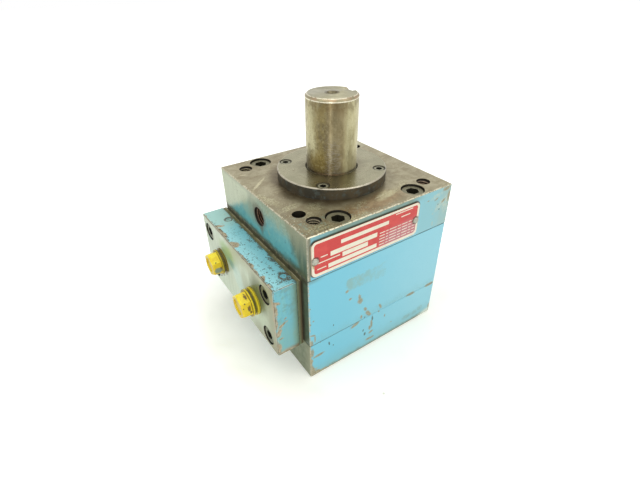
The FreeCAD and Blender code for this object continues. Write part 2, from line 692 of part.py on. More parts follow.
def make_manifold_block():
    body = manifold_body("manifold_block")
    back = "-plate_gap_thickness"
    face = f"-{MANIFOLD_FACE}"
    outline = draw_manifold_outline(new_sketch(body, "outline", "YZ_Plane", back), "0")
    slab = pad(body, "slab", outline, "manifold_thickness", reverse=True)
    break_edges(body, slab, "manifold_edge")
    holes(body, "ports", PORT_CENTRES, "port_radius", face, "port_depth", "YZ_Plane", True)
    for index, side in enumerate(BOTH_SIDES):
        port = PORT_CENTRES[index][0]
        passage = f"{side} * {PASSAGE_OFFSET}"
        link = new_sketch(body, f"link_outline_{index}", "YZ_Plane", back)
        draw_rectangle(link, f"{passage} - {side} * passage_radius", f"{port} + {side} * passage_radius",
                       "-passage_radius", "passage_radius")
        pocket(body, f"link_{index}", link, "manifold_thickness - port_depth + gallery_overlap")
    holes(body, "screw_holes", CAP_CENTRES, "cap_radius + screw_clearance", face, "manifold_thickness",
          "YZ_Plane", True)
    holes(body, "screw_bores", CAP_CENTRES, CAP_BORE_RADIUS, face, CAP_BORE_DEPTH, "YZ_Plane", True)
    holes(body, "pipe_plug_holes", PIPE_PLUG_CENTRES, "pipe_plug_radius + seat_clearance",
          MANIFOLD_RISE, "pipe_plug_length + pipe_plug_recess + seat_clearance")


def make_passage_plugs():
    body = manifold_body("passage_plugs")
    top = f"{MANIFOLD_RISE} - pipe_plug_recess"
    circles = draw_circles(new_sketch(body, "circles", "XY_Plane", top), PIPE_PLUG_CENTRES,
                           "pipe_plug_radius")
    pad(body, "plugs", circles, "pipe_plug_length", reverse=True)
    holes(body, "dishes", PIPE_PLUG_CENTRES, "pipe_plug_radius / 2", top, "pipe_plug_dish")


def make_manifold_seal_plate():
    body = manifold_body("manifold_seal_plate")
    outline = draw_manifold_outline(new_sketch(body, "outline", "YZ_Plane"), "plate_gap_inset")
    draw_circles(outline, CAP_CENTRES, "cap_radius + screw_clearance")
    draw_circles(outline, PASSAGE_CENTRES, "passage_ring_radius")
    pad(body, "sheet", outline, "plate_gap_thickness", reverse=True)


def make_manifold_o_rings():
    section = "(plate_gap_thickness / 2 - seat_clearance)"
    rings = []
    for side, name in zip(BOTH_SIDES, ("front_passage_ring", "back_passage_ring")):
        ring = doc.addObject("Part::Torus", name)
        bind(ring, "Radius1", f"passage_ring_radius - seat_clearance - {section}")
        bind(ring, "Radius2", section)
        ring.Placement.Rotation = FreeCAD.Rotation(FreeCAD.Vector(0, 1, 0), 90)
        bind(ring, "Placement.Base.x", "-plate_gap_thickness / 2")
        bind(ring, "Placement.Base.y", f"{side} * {PASSAGE_OFFSET}")
        rings.append(ring)
    group = doc.addObject("Part::Compound", "manifold_o_rings")
    group.Links = rings
    add_node(group, x=f"-{HALF_WIDTH}", z=MANIFOLD_CENTRE)


def make_manifold_screws():
    body = new_body("manifold_screws", x=f"-{HALF_WIDTH} - {MANIFOLD_FACE} + {CAP_BORE_DEPTH}",
                    z=MANIFOLD_CENTRE)
    shank = f"{MANIFOLD_FACE} - {CAP_BORE_DEPTH} + cap_bite"
    socket_screws(body, "YZ_Plane", CAP_CENTRES, shank, "cap", False)


def make_port_plug(name, centre, collar, turn):
    """A moulded plug: thread in the port, then collar, neck, flange and hexagon outside it."""
    across, up = centre
    body = new_body(name, x=f"-{HALF_WIDTH} - {MANIFOLD_FACE}", y=across, z=f"{MANIFOLD_CENTRE} + {up}")
    neck = f"-{collar} - seat_clearance"
    flange = f"{neck} - plug_neck_length"
    hexagon = f"{flange} - plug_flange_length"
    inner_end = "port_depth - plug_end_gap"
    thread = "port_radius - seat_clearance"
    turned(body, "turning", [
        (inner_end, "0"),
        (inner_end, thread),
        ("-seat_clearance", thread),
        ("-seat_clearance", "port_radius + plug_collar_step"),
        (neck, "port_radius + plug_collar_step"),
        (neck, "port_radius - plug_neck_step"),
        (flange, "port_radius - plug_neck_step"),
        (flange, "port_radius + plug_flange_step"),
        (hexagon, "port_radius + plug_flange_step"),
        (hexagon, "0"),
    ], axis="H_Axis")
    outline = new_sketch(body, "hexagon_outline", "YZ_Plane", hexagon)
    draw_hexagons(outline, [("0", "0")], "plug_hex", turn)
    head = pad(body, "hexagon", outline, "plug_hex_length", reverse=True)
    bevel = body.newObject("PartDesign::Chamfer", f"{name}_bevel")
    bevel.Base = (head, low_rims(head, "X"))
    bind(bevel, "Size", "plug_hex_bevel")
    doc.recompute()
    holes(body, "core", [("0", "0")], "plug_core_radius", f"{hexagon} - plug_hex_length",
          "plug_core_depth", "YZ_Plane", True)


def make_nameplate():
    body = new_body("nameplate", y=f"-{HALF_WIDTH}", z=f"{HEAD_TOP} - name_drop")
    outline = new_sketch(body, "outline", "XZ_Plane")
    draw_rectangle(outline, f"{NAME_CENTRE} - name_length / 2", f"{NAME_CENTRE} + name_length / 2",
                   "-name_height / 2", "name_height / 2")
    sheet_pad = pad(body, "sheet", outline, "name_thickness")
    fillet = body.newObject("PartDesign::Fillet", "nameplate_corners")
    upright = [
        f"Edge{index}" for index, edge in enumerate(sheet_pad.Shape.Edges, start=1)
        if abs(edge.tangentAt(edge.FirstParameter).y) > 0.5
    ]
    fillet.Base = (sheet_pad, upright)
    bind(fillet, "Radius", "name_corner")
    doc.recompute()
    holes(body, "screw_holes", NAME_SCREW_CENTRES, "name_screw_radius + seat_clearance",
          "name_thickness", None, "XZ_Plane")


def make_nameplate_screws():
    body = new_body("nameplate_screws", y=f"-{HALF_WIDTH}", z=f"{HEAD_TOP} - name_drop")
    under = new_sketch(body, "shank_circles", "XZ_Plane", "name_thickness")
    pad(body, "shanks", draw_circles(under, NAME_SCREW_CENTRES, "name_screw_radius"),
        f"name_thickness + {NAME_SCREW_BITE} - seat_clearance", reverse=True)
    over = new_sketch(body, "dome_circles", "XZ_Plane", "name_thickness")
    rounds = draw_circles(over, NAME_SCREW_CENTRES, "name_dome_radius")
    domes = pad(body, "domes", rounds, "name_dome_height")
    fillet = body.newObject("PartDesign::Fillet", "nameplate_screws_domes")
    fillet.Base = (domes, low_rims(domes, "Y"))
    bind(fillet, "Radius", "name_dome_height - seat_clearance")
    doc.recompute()


make_rear_head()
make_stator_housing()
make_front_head()
make_rotor_shaft()
make_vane_seal()
make_stator_shoe()
make_shoe_seal()
make_shoe_screws()
make_bearings()
make_shaft_seal()
make_body_o_rings()
make_retainer_ring()
make_retainer_screws()
make_tie_screws()
make_dowels()
make_manifold_block()
make_passage_plugs()
make_manifold_seal_plate()
make_manifold_o_rings()
make_manifold_screws()
make_port_plug("lower_port_plug", PORT_CENTRES[0], "lower_plug_collar", "lower_plug_turn")
make_port_plug("upper_port_plug", PORT_CENTRES[1], "upper_plug_collar", "upper_plug_turn")
make_nameplate()
make_nameplate_screws()
doc.recompute()

for item in doc.Objects:
    if "Invalid" in item.State or "Error" in item.State:
        raise RuntimeError(f"{item.Name} did not build")
for node in nodes:
    if node.Shape.isNull() or not node.Shape.isValid():
        raise RuntimeError(f"{node.Label} has no valid shape")

os.makedirs("parts", exist_ok=True)
for node in nodes:
    node.Shape.exportStep(f"parts/{node.Label}.step")
    print(node.Label, len(node.Shape.Solids), round(node.Shape.Volume, 1))
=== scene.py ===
import math
from functools import partialmethod

import bmesh
import bpy
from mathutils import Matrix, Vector


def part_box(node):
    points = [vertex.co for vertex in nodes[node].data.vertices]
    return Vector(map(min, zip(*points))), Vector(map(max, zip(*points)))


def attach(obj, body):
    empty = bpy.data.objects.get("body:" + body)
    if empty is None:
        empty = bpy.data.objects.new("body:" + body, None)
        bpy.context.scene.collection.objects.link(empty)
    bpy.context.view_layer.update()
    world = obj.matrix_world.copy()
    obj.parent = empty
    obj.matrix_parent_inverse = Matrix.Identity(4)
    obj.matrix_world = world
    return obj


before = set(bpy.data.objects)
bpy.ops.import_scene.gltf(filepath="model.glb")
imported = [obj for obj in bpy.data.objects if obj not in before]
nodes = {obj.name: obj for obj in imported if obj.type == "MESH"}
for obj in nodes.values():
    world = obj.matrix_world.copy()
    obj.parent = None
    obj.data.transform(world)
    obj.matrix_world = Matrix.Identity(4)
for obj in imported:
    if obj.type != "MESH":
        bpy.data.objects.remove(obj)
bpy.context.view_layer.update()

MM = 0.001


def span(node):
    """Lowest and highest corner of a CAD node, in millimetres."""
    return [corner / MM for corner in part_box(node)]


HEAD_LOW, HEAD_HIGH = span("front_head")
MANIFOLD_LOW = span("manifold_block")[0]
PLATE_LOW, PLATE_HIGH = span("nameplate")
RING_HIGH = span("retainer_ring")[1]
SHAFT_HIGH = span("rotor_shaft")[1]

# Places and sizes on the part, in millimetres.
MOUNT_REACH = 45.2
DRAIN_HEIGHT = 103
DRAIN_RADIUS = 6.7
PLATE_CORNER = 3.5
RING_SCREW = 23.48
SHAFT_RADIUS = 17.46
PASSAGE_PLUGS = ((-65.7, -41.2), (-65.7, 41.2))
# The signs of a square's corners.
CORNERS = ((-1, -1), (1, -1), (1, 1), (-1, 1))
# The way from the shaft's axis towards its front left side, where a brown stain and a painted dark
# reflection lie.
DARK_SIDE_X, DARK_SIDE_Y = -0.565, -0.825

# Noise lies about this value.
NOISE_MIDDLE = 0.5
# The Mix node's colour sockets.
MIX_UNDER, MIX_OVER, MIX_RESULT = 6, 7, 2


def linear(colour):
    """A screen colour, written as #rrggbb, in the linear values that shaders take."""
    levels = [level / 255 for level in bytes.fromhex(colour[1:])]
    return [*(x / 12.92 if x <= 0.04045 else ((x + 0.055) / 1.055) ** 2.4 for x in levels), 1]


class Field:
    """A number that varies over a surface, for use in formulas."""

    def __init__(self, owner, socket):
        self.owner = owner
        self.socket = socket

    def op(self, operation, *values):
        return self.owner.math(operation, self, *values)

    __add__ = __radd__ = partialmethod(op, "ADD")
    __sub__ = partialmethod(op, "SUBTRACT")
    __mul__ = __rmul__ = partialmethod(op, "MULTIPLY")
    __truediv__ = partialmethod(op, "DIVIDE")
    __abs__ = partialmethod(op, "ABSOLUTE")
    low = partialmethod(op, "MINIMUM")
    high = partialmethod(op, "MAXIMUM")

    def __rsub__(self, other):
        return self.owner.math("SUBTRACT", other, self)

    def __neg__(self):
        return self * -1

    def swing(self, amount):
        """Noise as a shift of up to half the amount either way."""
        return (self - NOISE_MIDDLE) * amount

    def rise(self, start, end):
        """0 at start, 1 at end and eased between them."""
        node = self.owner.add("MapRange", interpolation_type="SMOOTHSTEP")
        ends = (start, end, 0, 1) if start < end else (end, start, 1, 0)
        self.owner.feed(node, self, *ends)
        return Field(self.owner, node.outputs["Result"])

    def tone(self, start, end, under, over):
        """A colour that turns from under to over as the value goes from start to end."""
        return self.owner.blend(self.rise(start, end), under, over)

    def about(self, centre, reach):
        """1 within reach of a centre value and 0 beyond twice that reach."""
        return abs(self - centre).rise(2 * reach, reach)


class Shading:
    """The node tree of a material or of the world."""

    def __init__(self, owner):
        owner.use_nodes = True
        self.tree = owner.node_tree
        self.tree.nodes.clear()

    def add(self, kind, **settings):
        node = self.tree.nodes.new("ShaderNode" + kind)
        for key, value in settings.items():
            setattr(node, key, value)
        return node

    def put(self, socket, value):
        """Feed a socket with a field, another node's output, a screen colour or a number."""
        if isinstance(value, Field):
            value = value.socket
        if isinstance(value, bpy.types.NodeSocket):
            self.tree.links.new(value, socket)
        else:
            socket.default_value = linear(value) if isinstance(value, str) else value

    def feed(self, node, *values, **named):
        """Feed a node's inputs, in order or by name."""
        for socket, value in zip(node.inputs, values):
            self.put(socket, value)
        for name, value in named.items():
            self.put(node.inputs[name], value)

    def math(self, operation, *values):
        node = self.add("Math", operation=operation)
        self.feed(node, *values)
        return Field(self, node.outputs[0])


class Surface(Shading):
    """A material written as formulas over the part's own millimetres."""

    def __init__(self, name):
        self.material = bpy.data.materials.new(f"{name}_finish")
        super().__init__(self.material)
        self.output = self.add("OutputMaterial")
        self.shader = self.add("BsdfPrincipled")
        self.feed(self.output, Surface=self.shader.outputs[0])
        coords = self.add("TexCoord")
        scaled = self.add("VectorMath", operation="SCALE")
        self.feed(scaled, coords.outputs["Object"], Scale=1 / MM)
        self.place = scaled.outputs[0]
        self.x, self.y, self.z = self.split(self.place)
        self.nx, self.ny, self.nz = self.split(coords.outputs["Normal"])

    def split(self, vector):
        node = self.add("SeparateXYZ")
        self.feed(node, vector)
        return [Field(self, socket) for socket in node.outputs]

    def away(self, across, up, centre=(0, 0)):
        """Distance from a centre, measured in two of the surface's coordinates."""
        u = across - centre[0]
        v = up - centre[1]
        return (u * u + v * v).op("SQRT")

    def moved(self, stretch, shift):
        node = self.add("Mapping")
        self.feed(node, Vector=self.place, Scale=stretch, Location=shift)
        return node.outputs[0]

    def noise(self, size, detail=4, rough=0.62, warp=0, stretch=(1, 1, 1), seed=0):
        """Cloudy noise whose features are about size millimetres across."""
        node = self.add("TexNoise")
        place = self.moved(stretch, (seed, seed * 1.7, seed * 0.6))
        self.feed(node, Vector=place, Scale=1 / size, Detail=detail, Roughness=rough, Distortion=warp)
        return Field(self, node.outputs["Fac"])

    def cells(self, size, seed=0):
        """Distance to the nearest of scattered points, about 0 to 1."""
        node = self.add("TexVoronoi")
        self.feed(node, Vector=self.moved((1, 1, 1), (seed, seed * 1.3, seed * 2.1)), Scale=1 / size)
        return Field(self, node.outputs["Distance"])

    def blend(self, mask, under, over):
        """The colour under, covered by the colour over where mask is 1."""
        node = self.add("Mix", data_type="RGBA", clamp_factor=True)
        self.feed(node, Factor=mask)
        self.put(node.inputs[MIX_UNDER], under)
        self.put(node.inputs[MIX_OVER], over)
        return node.outputs[MIX_RESULT]

    def level(self, mask, under, over):
        return under + mask * (over - under)

    def layers(self, under, *coats):
        """A colour with coats of (mask, colour) laid over it in turn."""
        for mask, colour in coats:
            under = self.blend(mask, under, colour)
        return under

    def finish(self, colour, rough, relief, depth, metal=0):
        """Wire up the shader. Where relief is 1 the surface stands depth millimetres proud."""
        bump = self.add("Bump")
        self.feed(bump, Distance=depth * MM, Height=relief)
        self.put(self.shader.inputs["Base Color"], colour)
        self.feed(self.shader, Roughness=rough, Metallic=metal, Normal=bump.outputs["Normal"])
        return self.material


class Worn(Surface):
    """A worn block's surface with its noises, its faces and its distances from the node's sides."""

    def __init__(self, node):
        super().__init__(node)
        self.node = node
        low, high = span(node)
        self.grain = self.noise(0.8, 3, 0.6, seed=23)
        self.fine = self.noise(1.4)
        self.chipping = self.fine * 0.6 + self.grain * 0.4
        self.flake = self.noise(4.6, 4, 0.66, seed=17)
        self.broad = self.noise(13, 4, 0.6, seed=3)
        self.upright = self.noise(4, 4, 0.65, stretch=(1, 1, 0.14), seed=5)
        self.front = self.ny.rise(-0.5, -0.65)
        self.left = self.nx.rise(-0.5, -0.65) * (1 - self.front)
        self.top = self.nz.rise(0.6, 0.9)
        self.out = (self.x - low.x).low(high.x - self.x)
        self.along = (self.y - low.y).low(high.y - self.y)
        self.below = self.z - low.z
        self.above = high.z - self.z
        self.speck, self.ragged, self.wob, self.drip = [
            noise - NOISE_MIDDLE for noise in (self.fine, self.flake, self.broad, self.upright)]


def spot(across, up, place, rag=0, cloud=None, soft=0.12):
    """1 inside a ragged ellipse on a flat face, given by two of the surface's coordinates.

    place holds its centre, its radii and, where it is tilted, its turn in degrees."""
    centre_u, centre_v, radius_u, radius_v, turn = (*place, 0)[:5]
    angle = math.radians(turn)
    u = across - centre_u
    v = up - centre_v
    along = (u * math.cos(angle) + v * math.sin(angle)) / radius_u
    aside = (v * math.cos(angle) - u * math.sin(angle)) / radius_v
    reach = (along * along + aside * aside).op("SQRT")
    if cloud is not None:
        reach = reach + cloud.swing(rag)
    return reach.rise(1 + soft, 1 - soft)


def union(masks):
    total = masks[0]
    for mask in masks[1:]:
        total = total.high(mask)
    return total


def spots(across, up, places, rag, cloud, soft=0.12):
    """The union of ragged ellipses."""
    return union([spot(across, up, place, rag, cloud, soft) for place in places])


TAN = "#a69f86"
TAN_DARK = "#8c866a"
RUB = "#d0cbb4"
# Dark grime, also used as painted shade round screw heads and for a small hole.
GRIME_AND_SHADE = "#302e22"
# The colour of painted shade inside holes and bores.
HOLE_SHADE = "#2c271d"

# Chips on the front faces, in x and z: centre, radii and, where tilted, turn in degrees.
FRONT_CHIPS = {
    "stator_housing": [
        (-18.1, 53.4, 3.4, 1.2, -80), (-17.5, 50.6, 2.8, 2.1, -60), (-29.4, 64.8, 1.3, 1.1),
        (-26.4, 56.7, 1.3, 0.9), (-12.3, 40.2, 2.2, 1.2, -60), (-9.1, 34.3, 4, 1.5, -56),
        (-15.6, 34.3, 0.9, 1.7), (2.1, 35.4, 2.8, 1, -64), (33.2, 31.5, 4.4, 1.2, -4),
        (53.8, 31.6, 4.6, 1), (-56.6, 40.4, 2.2, 0.7, -20), (-55, 36.6, 3.2, 0.6, 90),
        (-55.9, 53.1, 0.7, 0.6), (-57.8, 33, 1.4, 3.2),
    ],
    "rear_head": [
        (-20.9, 29.4, 3.9, 1.5, 15), (33.2, 30.8, 4.4, 1, -4), (53.8, 30.6, 4.6, 0.9),
        (-52.2, 18.9, 4.6, 1.2, 4), (-5.2, 21.8, 1, 4.2, 6), (-6.6, 18.4, 1.2, 2.2, 10),
        (-5.2, 13.5, 2.1, 1.2, 15), (-7.1, 7.1, 2.3, 1.2), (-3.6, 6.8, 2, 1, 10),
        (7.6, 22.9, 0.6, 1.5), (1.3, 30.4, 0.9, 0.6), (15.4, 11.8, 0.6, 0.5),
        (58, 6.5, 0.9, 2.8), (-57.6, 24, 1.6, 4),
    ],
    "front_head": [
        (54.1, 115.4, 3.6, 1.4, 8), (52.4, 106.6, 2, 1, 35), (44.9, 109.7, 1.8, 0.6, 25),
        (57.2, 109, 1.2, 4.2), (-6, 117, 3.4, 0.7), (37, 110.7, 0.9, 0.4),
    ],
}
# Small dark nicks on the front faces.
FRONT_NICKS = {
    "stator_housing": [(-40, 40.5, 0.4, 0.9), (-12.3, 32.2, 0.5, 0.8)],
    "rear_head": [
        (-4.7, 27, 0.7, 2.6, 6), (-11.2, 14.6, 0.9, 1.5), (-12.9, 19.2, 0.6, 1.2, -10),
        (-43.4, 25, 0.6, 1.8, 10), (-39.9, 21.1, 0.5, 0.6),
    ],
    "front_head": [(49.4, 100.6, 0.6, 0.6), (47.4, 105.2, 0.5, 0.4)],
}
# Pale scuffs beside the nameplate.
SCUFFS = [(50.5, 105, 6.5, 2.2, 40), (55, 103, 2.6, 6), (44.5, 112, 6, 1.4, 12)]
# Grey rubs low on the rear head's front, and the faint outline of an old label on the body's.
FRONT_RUBS = [(47, 9.4, 2.6, 2.2), (41, 7.8, 2.8, 1.9), (33, 7.8, 4.4, 2)]
LABEL_LEFT, LABEL_RIGHT, LABEL_LOW, LABEL_HIGH = -30, 5, 63.3, 75.4
# How deep the blocks' paint and its chips are.
PAINT_DEPTH = 0.08


def worn_paint(s, left_coats, front_coats, rim, seam, line):
    """Sky blue paint, painted lighter towards the right, with a block's own stains, then its chips, rubbed
    edges, dark seams and painted shade inside its holes.

    rim is the distance from an outer edge and seam the distance from a joint with the next block;
    line is 1 where the joint shows as a dark line. The result is what finish takes."""
    hind = (1 - s.left) * (1 - s.front)
    paint = s.layers(
        # Painted light: the paint turns lighter towards the right.
        (s.x + s.wob * 30).tone(-55, 62, "#75c4da", "#91cfdf"),
        (s.fine.rise(0.55, 0.8) * 0.3, "#76b8c8"),
        (s.upright.rise(0.54, 0.74) * hind * 0.4, "#70a8b0"),
        (s.flake.rise(0.6, 0.7) * s.broad.rise(0.5, 0.62) * hind * 0.6, "#92a492"),
    )
    for face, coats in ((s.left, left_coats), (s.front, front_coats)):
        paint = s.layers(paint, *[(mask * face, colour) for mask, colour in coats])
    upright_edge = s.out.high(s.along)
    worn = upright_edge if rim is None else upright_edge.low(s.out.low(s.along).high(rim))
    chipped = spots(s.x, s.z, FRONT_CHIPS[s.node], 2, s.chipping, 0.3) * s.front
    nicks = spots(s.x, s.z, FRONT_NICKS[s.node], 1.4, s.fine, 0.3) * s.front
    flaked = (worn - (s.flake - 0.57) * 15).rise(0.3, -0.3)
    split = (seam - (s.flake - 0.66) * 15).rise(0.2, -0.3)
    bare = union([chipped, flaked, split])
    rubbed = worn.rise(0.9, 0.3) * s.flake.rise(0.4, 0.56) * s.x.rise(90, 20)
    # Painted shade on the walls inside holes and bores.
    inner = s.out.low(s.along).rise(0.5, 0.8) * s.below.rise(0.2, 0.6)
    colour = s.layers(
        paint,
        (bare * 0.9, s.fine.tone(0.4, 0.65, TAN, TAN_DARK)),
        (rubbed * 0.8, s.grain.tone(0.4, 0.6, RUB, TAN)),
        (line * 0.85, "#363e30"),
        (nicks * 0.85, "#3a4234"),
        (inner, s.broad.tone(0.4, 0.6, HOLE_SHADE, "#1c1912")),
    )
    rough = s.level(bare, 0.4 + s.speck * 0.2, 0.6)
    relief = (1 - bare) * 0.6 + s.fine * 0.3 + s.broad * 0.5 - nicks * 0.4
    return colour, rough, relief, PAINT_DEPTH, bare * 0.3


def lower_joint(s, gap):
    """The dark line between rear head and body, which fades to the right."""
    return gap.rise(0.5, 0.1) * (0.25 + 0.75 * (s.x + s.ragged * 24).rise(-10, -28))


def rear_head_finish():
    s = Worn("rear_head")
    left = [
        (1, s.flake.tone(0.35, 0.65, "#646e52", "#828a6e")),
        (s.y.rise(-50, -58) * s.upright.rise(0.3, 0.6) * 0.6, "#96967a"),
        (s.z.rise(6, 1) * s.broad.rise(0.3, 0.6) * 0.5, "#8c8c72"),
        (s.grain.rise(0.58, 0.68) * 0.5, "#50543c"),
    ]
    worn_corner = ((s.x + 60) * (s.z + 1) + s.ragged * 90 + s.speck * 60).rise(52, 36)
    front = [
        ((s.z + s.wob * 12).rise(16, 0) * 0.6, "#7eb4b8"),
        ((s.z + s.ragged * 6).rise(4.4, 1.2) * 0.8, "#768a7c"),
        ((s.z + s.speck * 2.4).rise(1.5, 0.8) * 0.9, s.flake.tone(0.4, 0.6, "#84785c", "#706c50")),
        ((s.x - s.z * 2 + s.ragged * 10).rise(38, 50) * s.z.rise(7, 2) * 0.8, "#dee6da"),
        (worn_corner, s.fine.tone(0.4, 0.62, "#aca486", "#8c8466")),
        (spots(s.x, s.z, FRONT_RUBS, 1.6, s.flake, 0.7) * s.fine.rise(0.3, 0.55) * 0.6, "#82a4a0"),
    ]
    return s.finish(*worn_paint(s, left, front, s.below, s.above, lower_joint(s, s.above)))


def stator_housing_finish():
    s = Worn("stator_housing")
    # The left face: dark olive, dirt with painted shade beside the manifold.
    left = [
        (1, s.flake.tone(0.35, 0.65, "#42503c", "#54624e")),
        # Painted shade: very dark in the corner next to the manifold.
        (s.y.rise(-54.2, -52.4) * s.broad.rise(0.1, 0.5), "#2a261a"),
        ((s.z + s.ragged * 2).rise(82, 83.6) * 0.9, s.flake.tone(0.4, 0.6, "#343422", "#504f34")),
        ((s.z + s.speck * 2).rise(85.2, 85.8) * s.flake.rise(0.5, 0.58) * 0.5, "#968e6a"),
        (s.grain.rise(0.56, 0.66) * 0.5, "#323626"),
    ]
    inside = (s.x - LABEL_LEFT).low(s.z - LABEL_LOW).low(LABEL_HIGH - s.z)
    inside = inside.low((LABEL_RIGHT - s.x) * 0.15) + s.ragged * 6 + s.speck * 4
    ghost = inside.rise(-0.4, 1.4) * (0.45 + 0.55 * s.x.rise(0, -22)) * (0.4 + 0.6 * s.flake.rise(0.35, 0.6))
    foot = (s.z + s.wob * 10).rise(40, 31) * s.fine.rise(0.3, 0.6)
    front = [
        (ghost * 0.8, "#86b0ac"),
        (foot * 0.4, "#7cb0b4"),
        (s.z.rise(83, 86) * (s.x + s.ragged * 8).rise(-44, -55) * 0.6, "#648c8a"),
    ]
    joint = s.above.rise(0.5, 0.1).high(lower_joint(s, s.below))
    return s.finish(*worn_paint(s, left, front, None, s.below.low(s.above), joint))


def past(place, low, high):
    """How far a coordinate lies outside a range."""
    return (abs(place - (low + high) / 2) - (high - low) / 2).high(0)


def front_head_finish():
    s = Worn("front_head")
    port = s.away(s.y, s.z, (0, DRAIN_HEIGHT))
    pale_edge = s.z + 0.55 * s.y - 117.75 + s.wob * 9 + s.drip * 3 + s.speck * 2
    scrub = s.z + s.wob * 10 + s.drip * 10 + s.ragged * 6
    soiled = s.y - 0.5 * (s.z - 95) + s.wob * 9 + s.drip * 9
    streaked = s.upright.tone(0.36, 0.62, "#3c4a2c", "#626a48")
    runs = s.away(s.y * 1.5 - 12, s.z, (0, 107)) + s.wob * 14 + s.drip * 10
    left = [
        (1, s.flake.tone(0.35, 0.7, "#52a0a7", "#66adae")),
        (scrub.rise(99, 114) * 0.9, s.fine.tone(0.35, 0.65, "#96a88e", "#809070")),
        (pale_edge.rise(-4, 2.6), s.upright.tone(0.3, 0.7, "#c6cfb4", "#bcc5a8")),
        (soiled.rise(-42, -51) * 0.9, (s.z + s.drip * 16).tone(96, 116, streaked, "#808364")),
        (spot(s.y, s.z, (19, 103, 9, 7), 1, s.broad, 0.5) * 0.4, "#96a07c"),
        (s.above.rise(4, 1.2) * 0.35, "#8a8a6a"),
        (runs.rise(16, 6) * 0.6, "#7c8468"),
        ((port + s.ragged * 6).rise(11, 7.2) * 0.7, "#5c5840"),
        (spot(s.y, s.z, (-2.6, 95, 2, 4.6), 1.6, s.fine, 0.4) * 0.6, "#5c624c"),
        (s.z.rise(95, 89) * (s.y + s.wob * 16).rise(-24, -42) * 0.8, "#3e482c"),
        ((s.z + s.wob * 3 + s.ragged * 6).rise(91, 87.6) * 0.9, s.fine.tone(0.4, 0.6, "#465038", "#5c5e40")),
        ((s.z + s.speck * 2).rise(88, 87) * s.flake.rise(0.54, 0.62) * 0.7, "#968e6a"),
        (s.flake.rise(0.62, 0.7) * s.y.rise(10, -10) * 0.5, "#9ea082"),
        (s.grain.rise(0.58, 0.66) * s.broad.rise(0.4, 0.6) * 0.7, "#545438"),
        (s.flake.rise(0.4, 0.34) * s.y.rise(-20, -44) * 0.6, "#3a3e26"),
    ]
    beside = past(s.x, PLATE_LOW.x + PLATE_CORNER, PLATE_HIGH.x - PLATE_CORNER)
    beyond = past(s.z, PLATE_LOW.z + PLATE_CORNER, PLATE_HIGH.z - PLATE_CORNER)
    plate_gap = s.away(beside, beyond) - PLATE_CORNER
    strip = (s.z + s.wob * 4).rise(112, 115) * s.x.rise(36, 20)
    front = [
        (s.x.rise(24, 34) * 0.55, "#86b8bc"),
        ((s.x + s.wob * 20 + s.drip * 14).rise(38, 60) * 0.5, "#a2b2a2"),
        (strip * (0.2 + s.flake * 0.5 + 0.35 * s.x.rise(-54, -36)), "#76866e"),
        # Grime and painted shadow: a dark line round the nameplate.
        ((plate_gap + s.ragged * 0.8).rise(1.3, 0.5) * 0.9, "#40402e"),
        (spots(s.x, s.z, SCUFFS, 2, s.flake, 0.6) * s.fine.rise(0.38, 0.58) * 0.6, "#c6ceba"),
        ((s.x + s.ragged * 3).rise(-56.4, -57.4) * 0.9, s.upright.tone(0.4, 0.6, "#5c5c44", "#827a5e")),
        (s.flake.rise(0.62, 0.7) * s.x.rise(30, 48) * 0.6, "#bcbca0"),
    ]
    joint = s.below.rise(0.5, 0.1)
    colour, rough, relief, depth, metal = worn_paint(s, left, front, s.above, s.below, joint)
    # Painted shade inside the drain port.
    colour = s.blend(port.rise(DRAIN_RADIUS + 0.2, DRAIN_RADIUS + 0.05) * s.x.rise(-45, -50), colour, HOLE_SHADE)
    steel, shine, grit = bare_top(s)
    lid = s.nz.rise(0.3, 0.6) * s.above.rise(1, 0.7)
    return s.finish(
        s.blend(lid, colour, steel), s.level(lid, rough, shine), s.level(lid, relief, grit), depth,
        s.level(lid, metal, 0.75),
    )


# Pale deposits and strokes on the front head's upper face, in x and y.
CRUSTS = [
    (-49, -24, 7.5, 2.6, 8), (-11, -45, 6, 3, 10), (14, -45, 12, 3, 12), (-47, -54, 9, 4, -12),
    (-22, -56, 9, 2.4), (-55, -8, 2.8, 10, 12), (30, -40, 5, 2.4, 30), (-36, -32, 5, 5, 20),
    (33, -38, 4, 2, 20), (-44, -38, 3, 6, -10),
]
STROKES = [(-49.5, 16.5, 9.6, 1, 41), (-51.7, 35.9, 2.6, 0.6, -20), (6, -44.6, 4, 0.6, 8)]


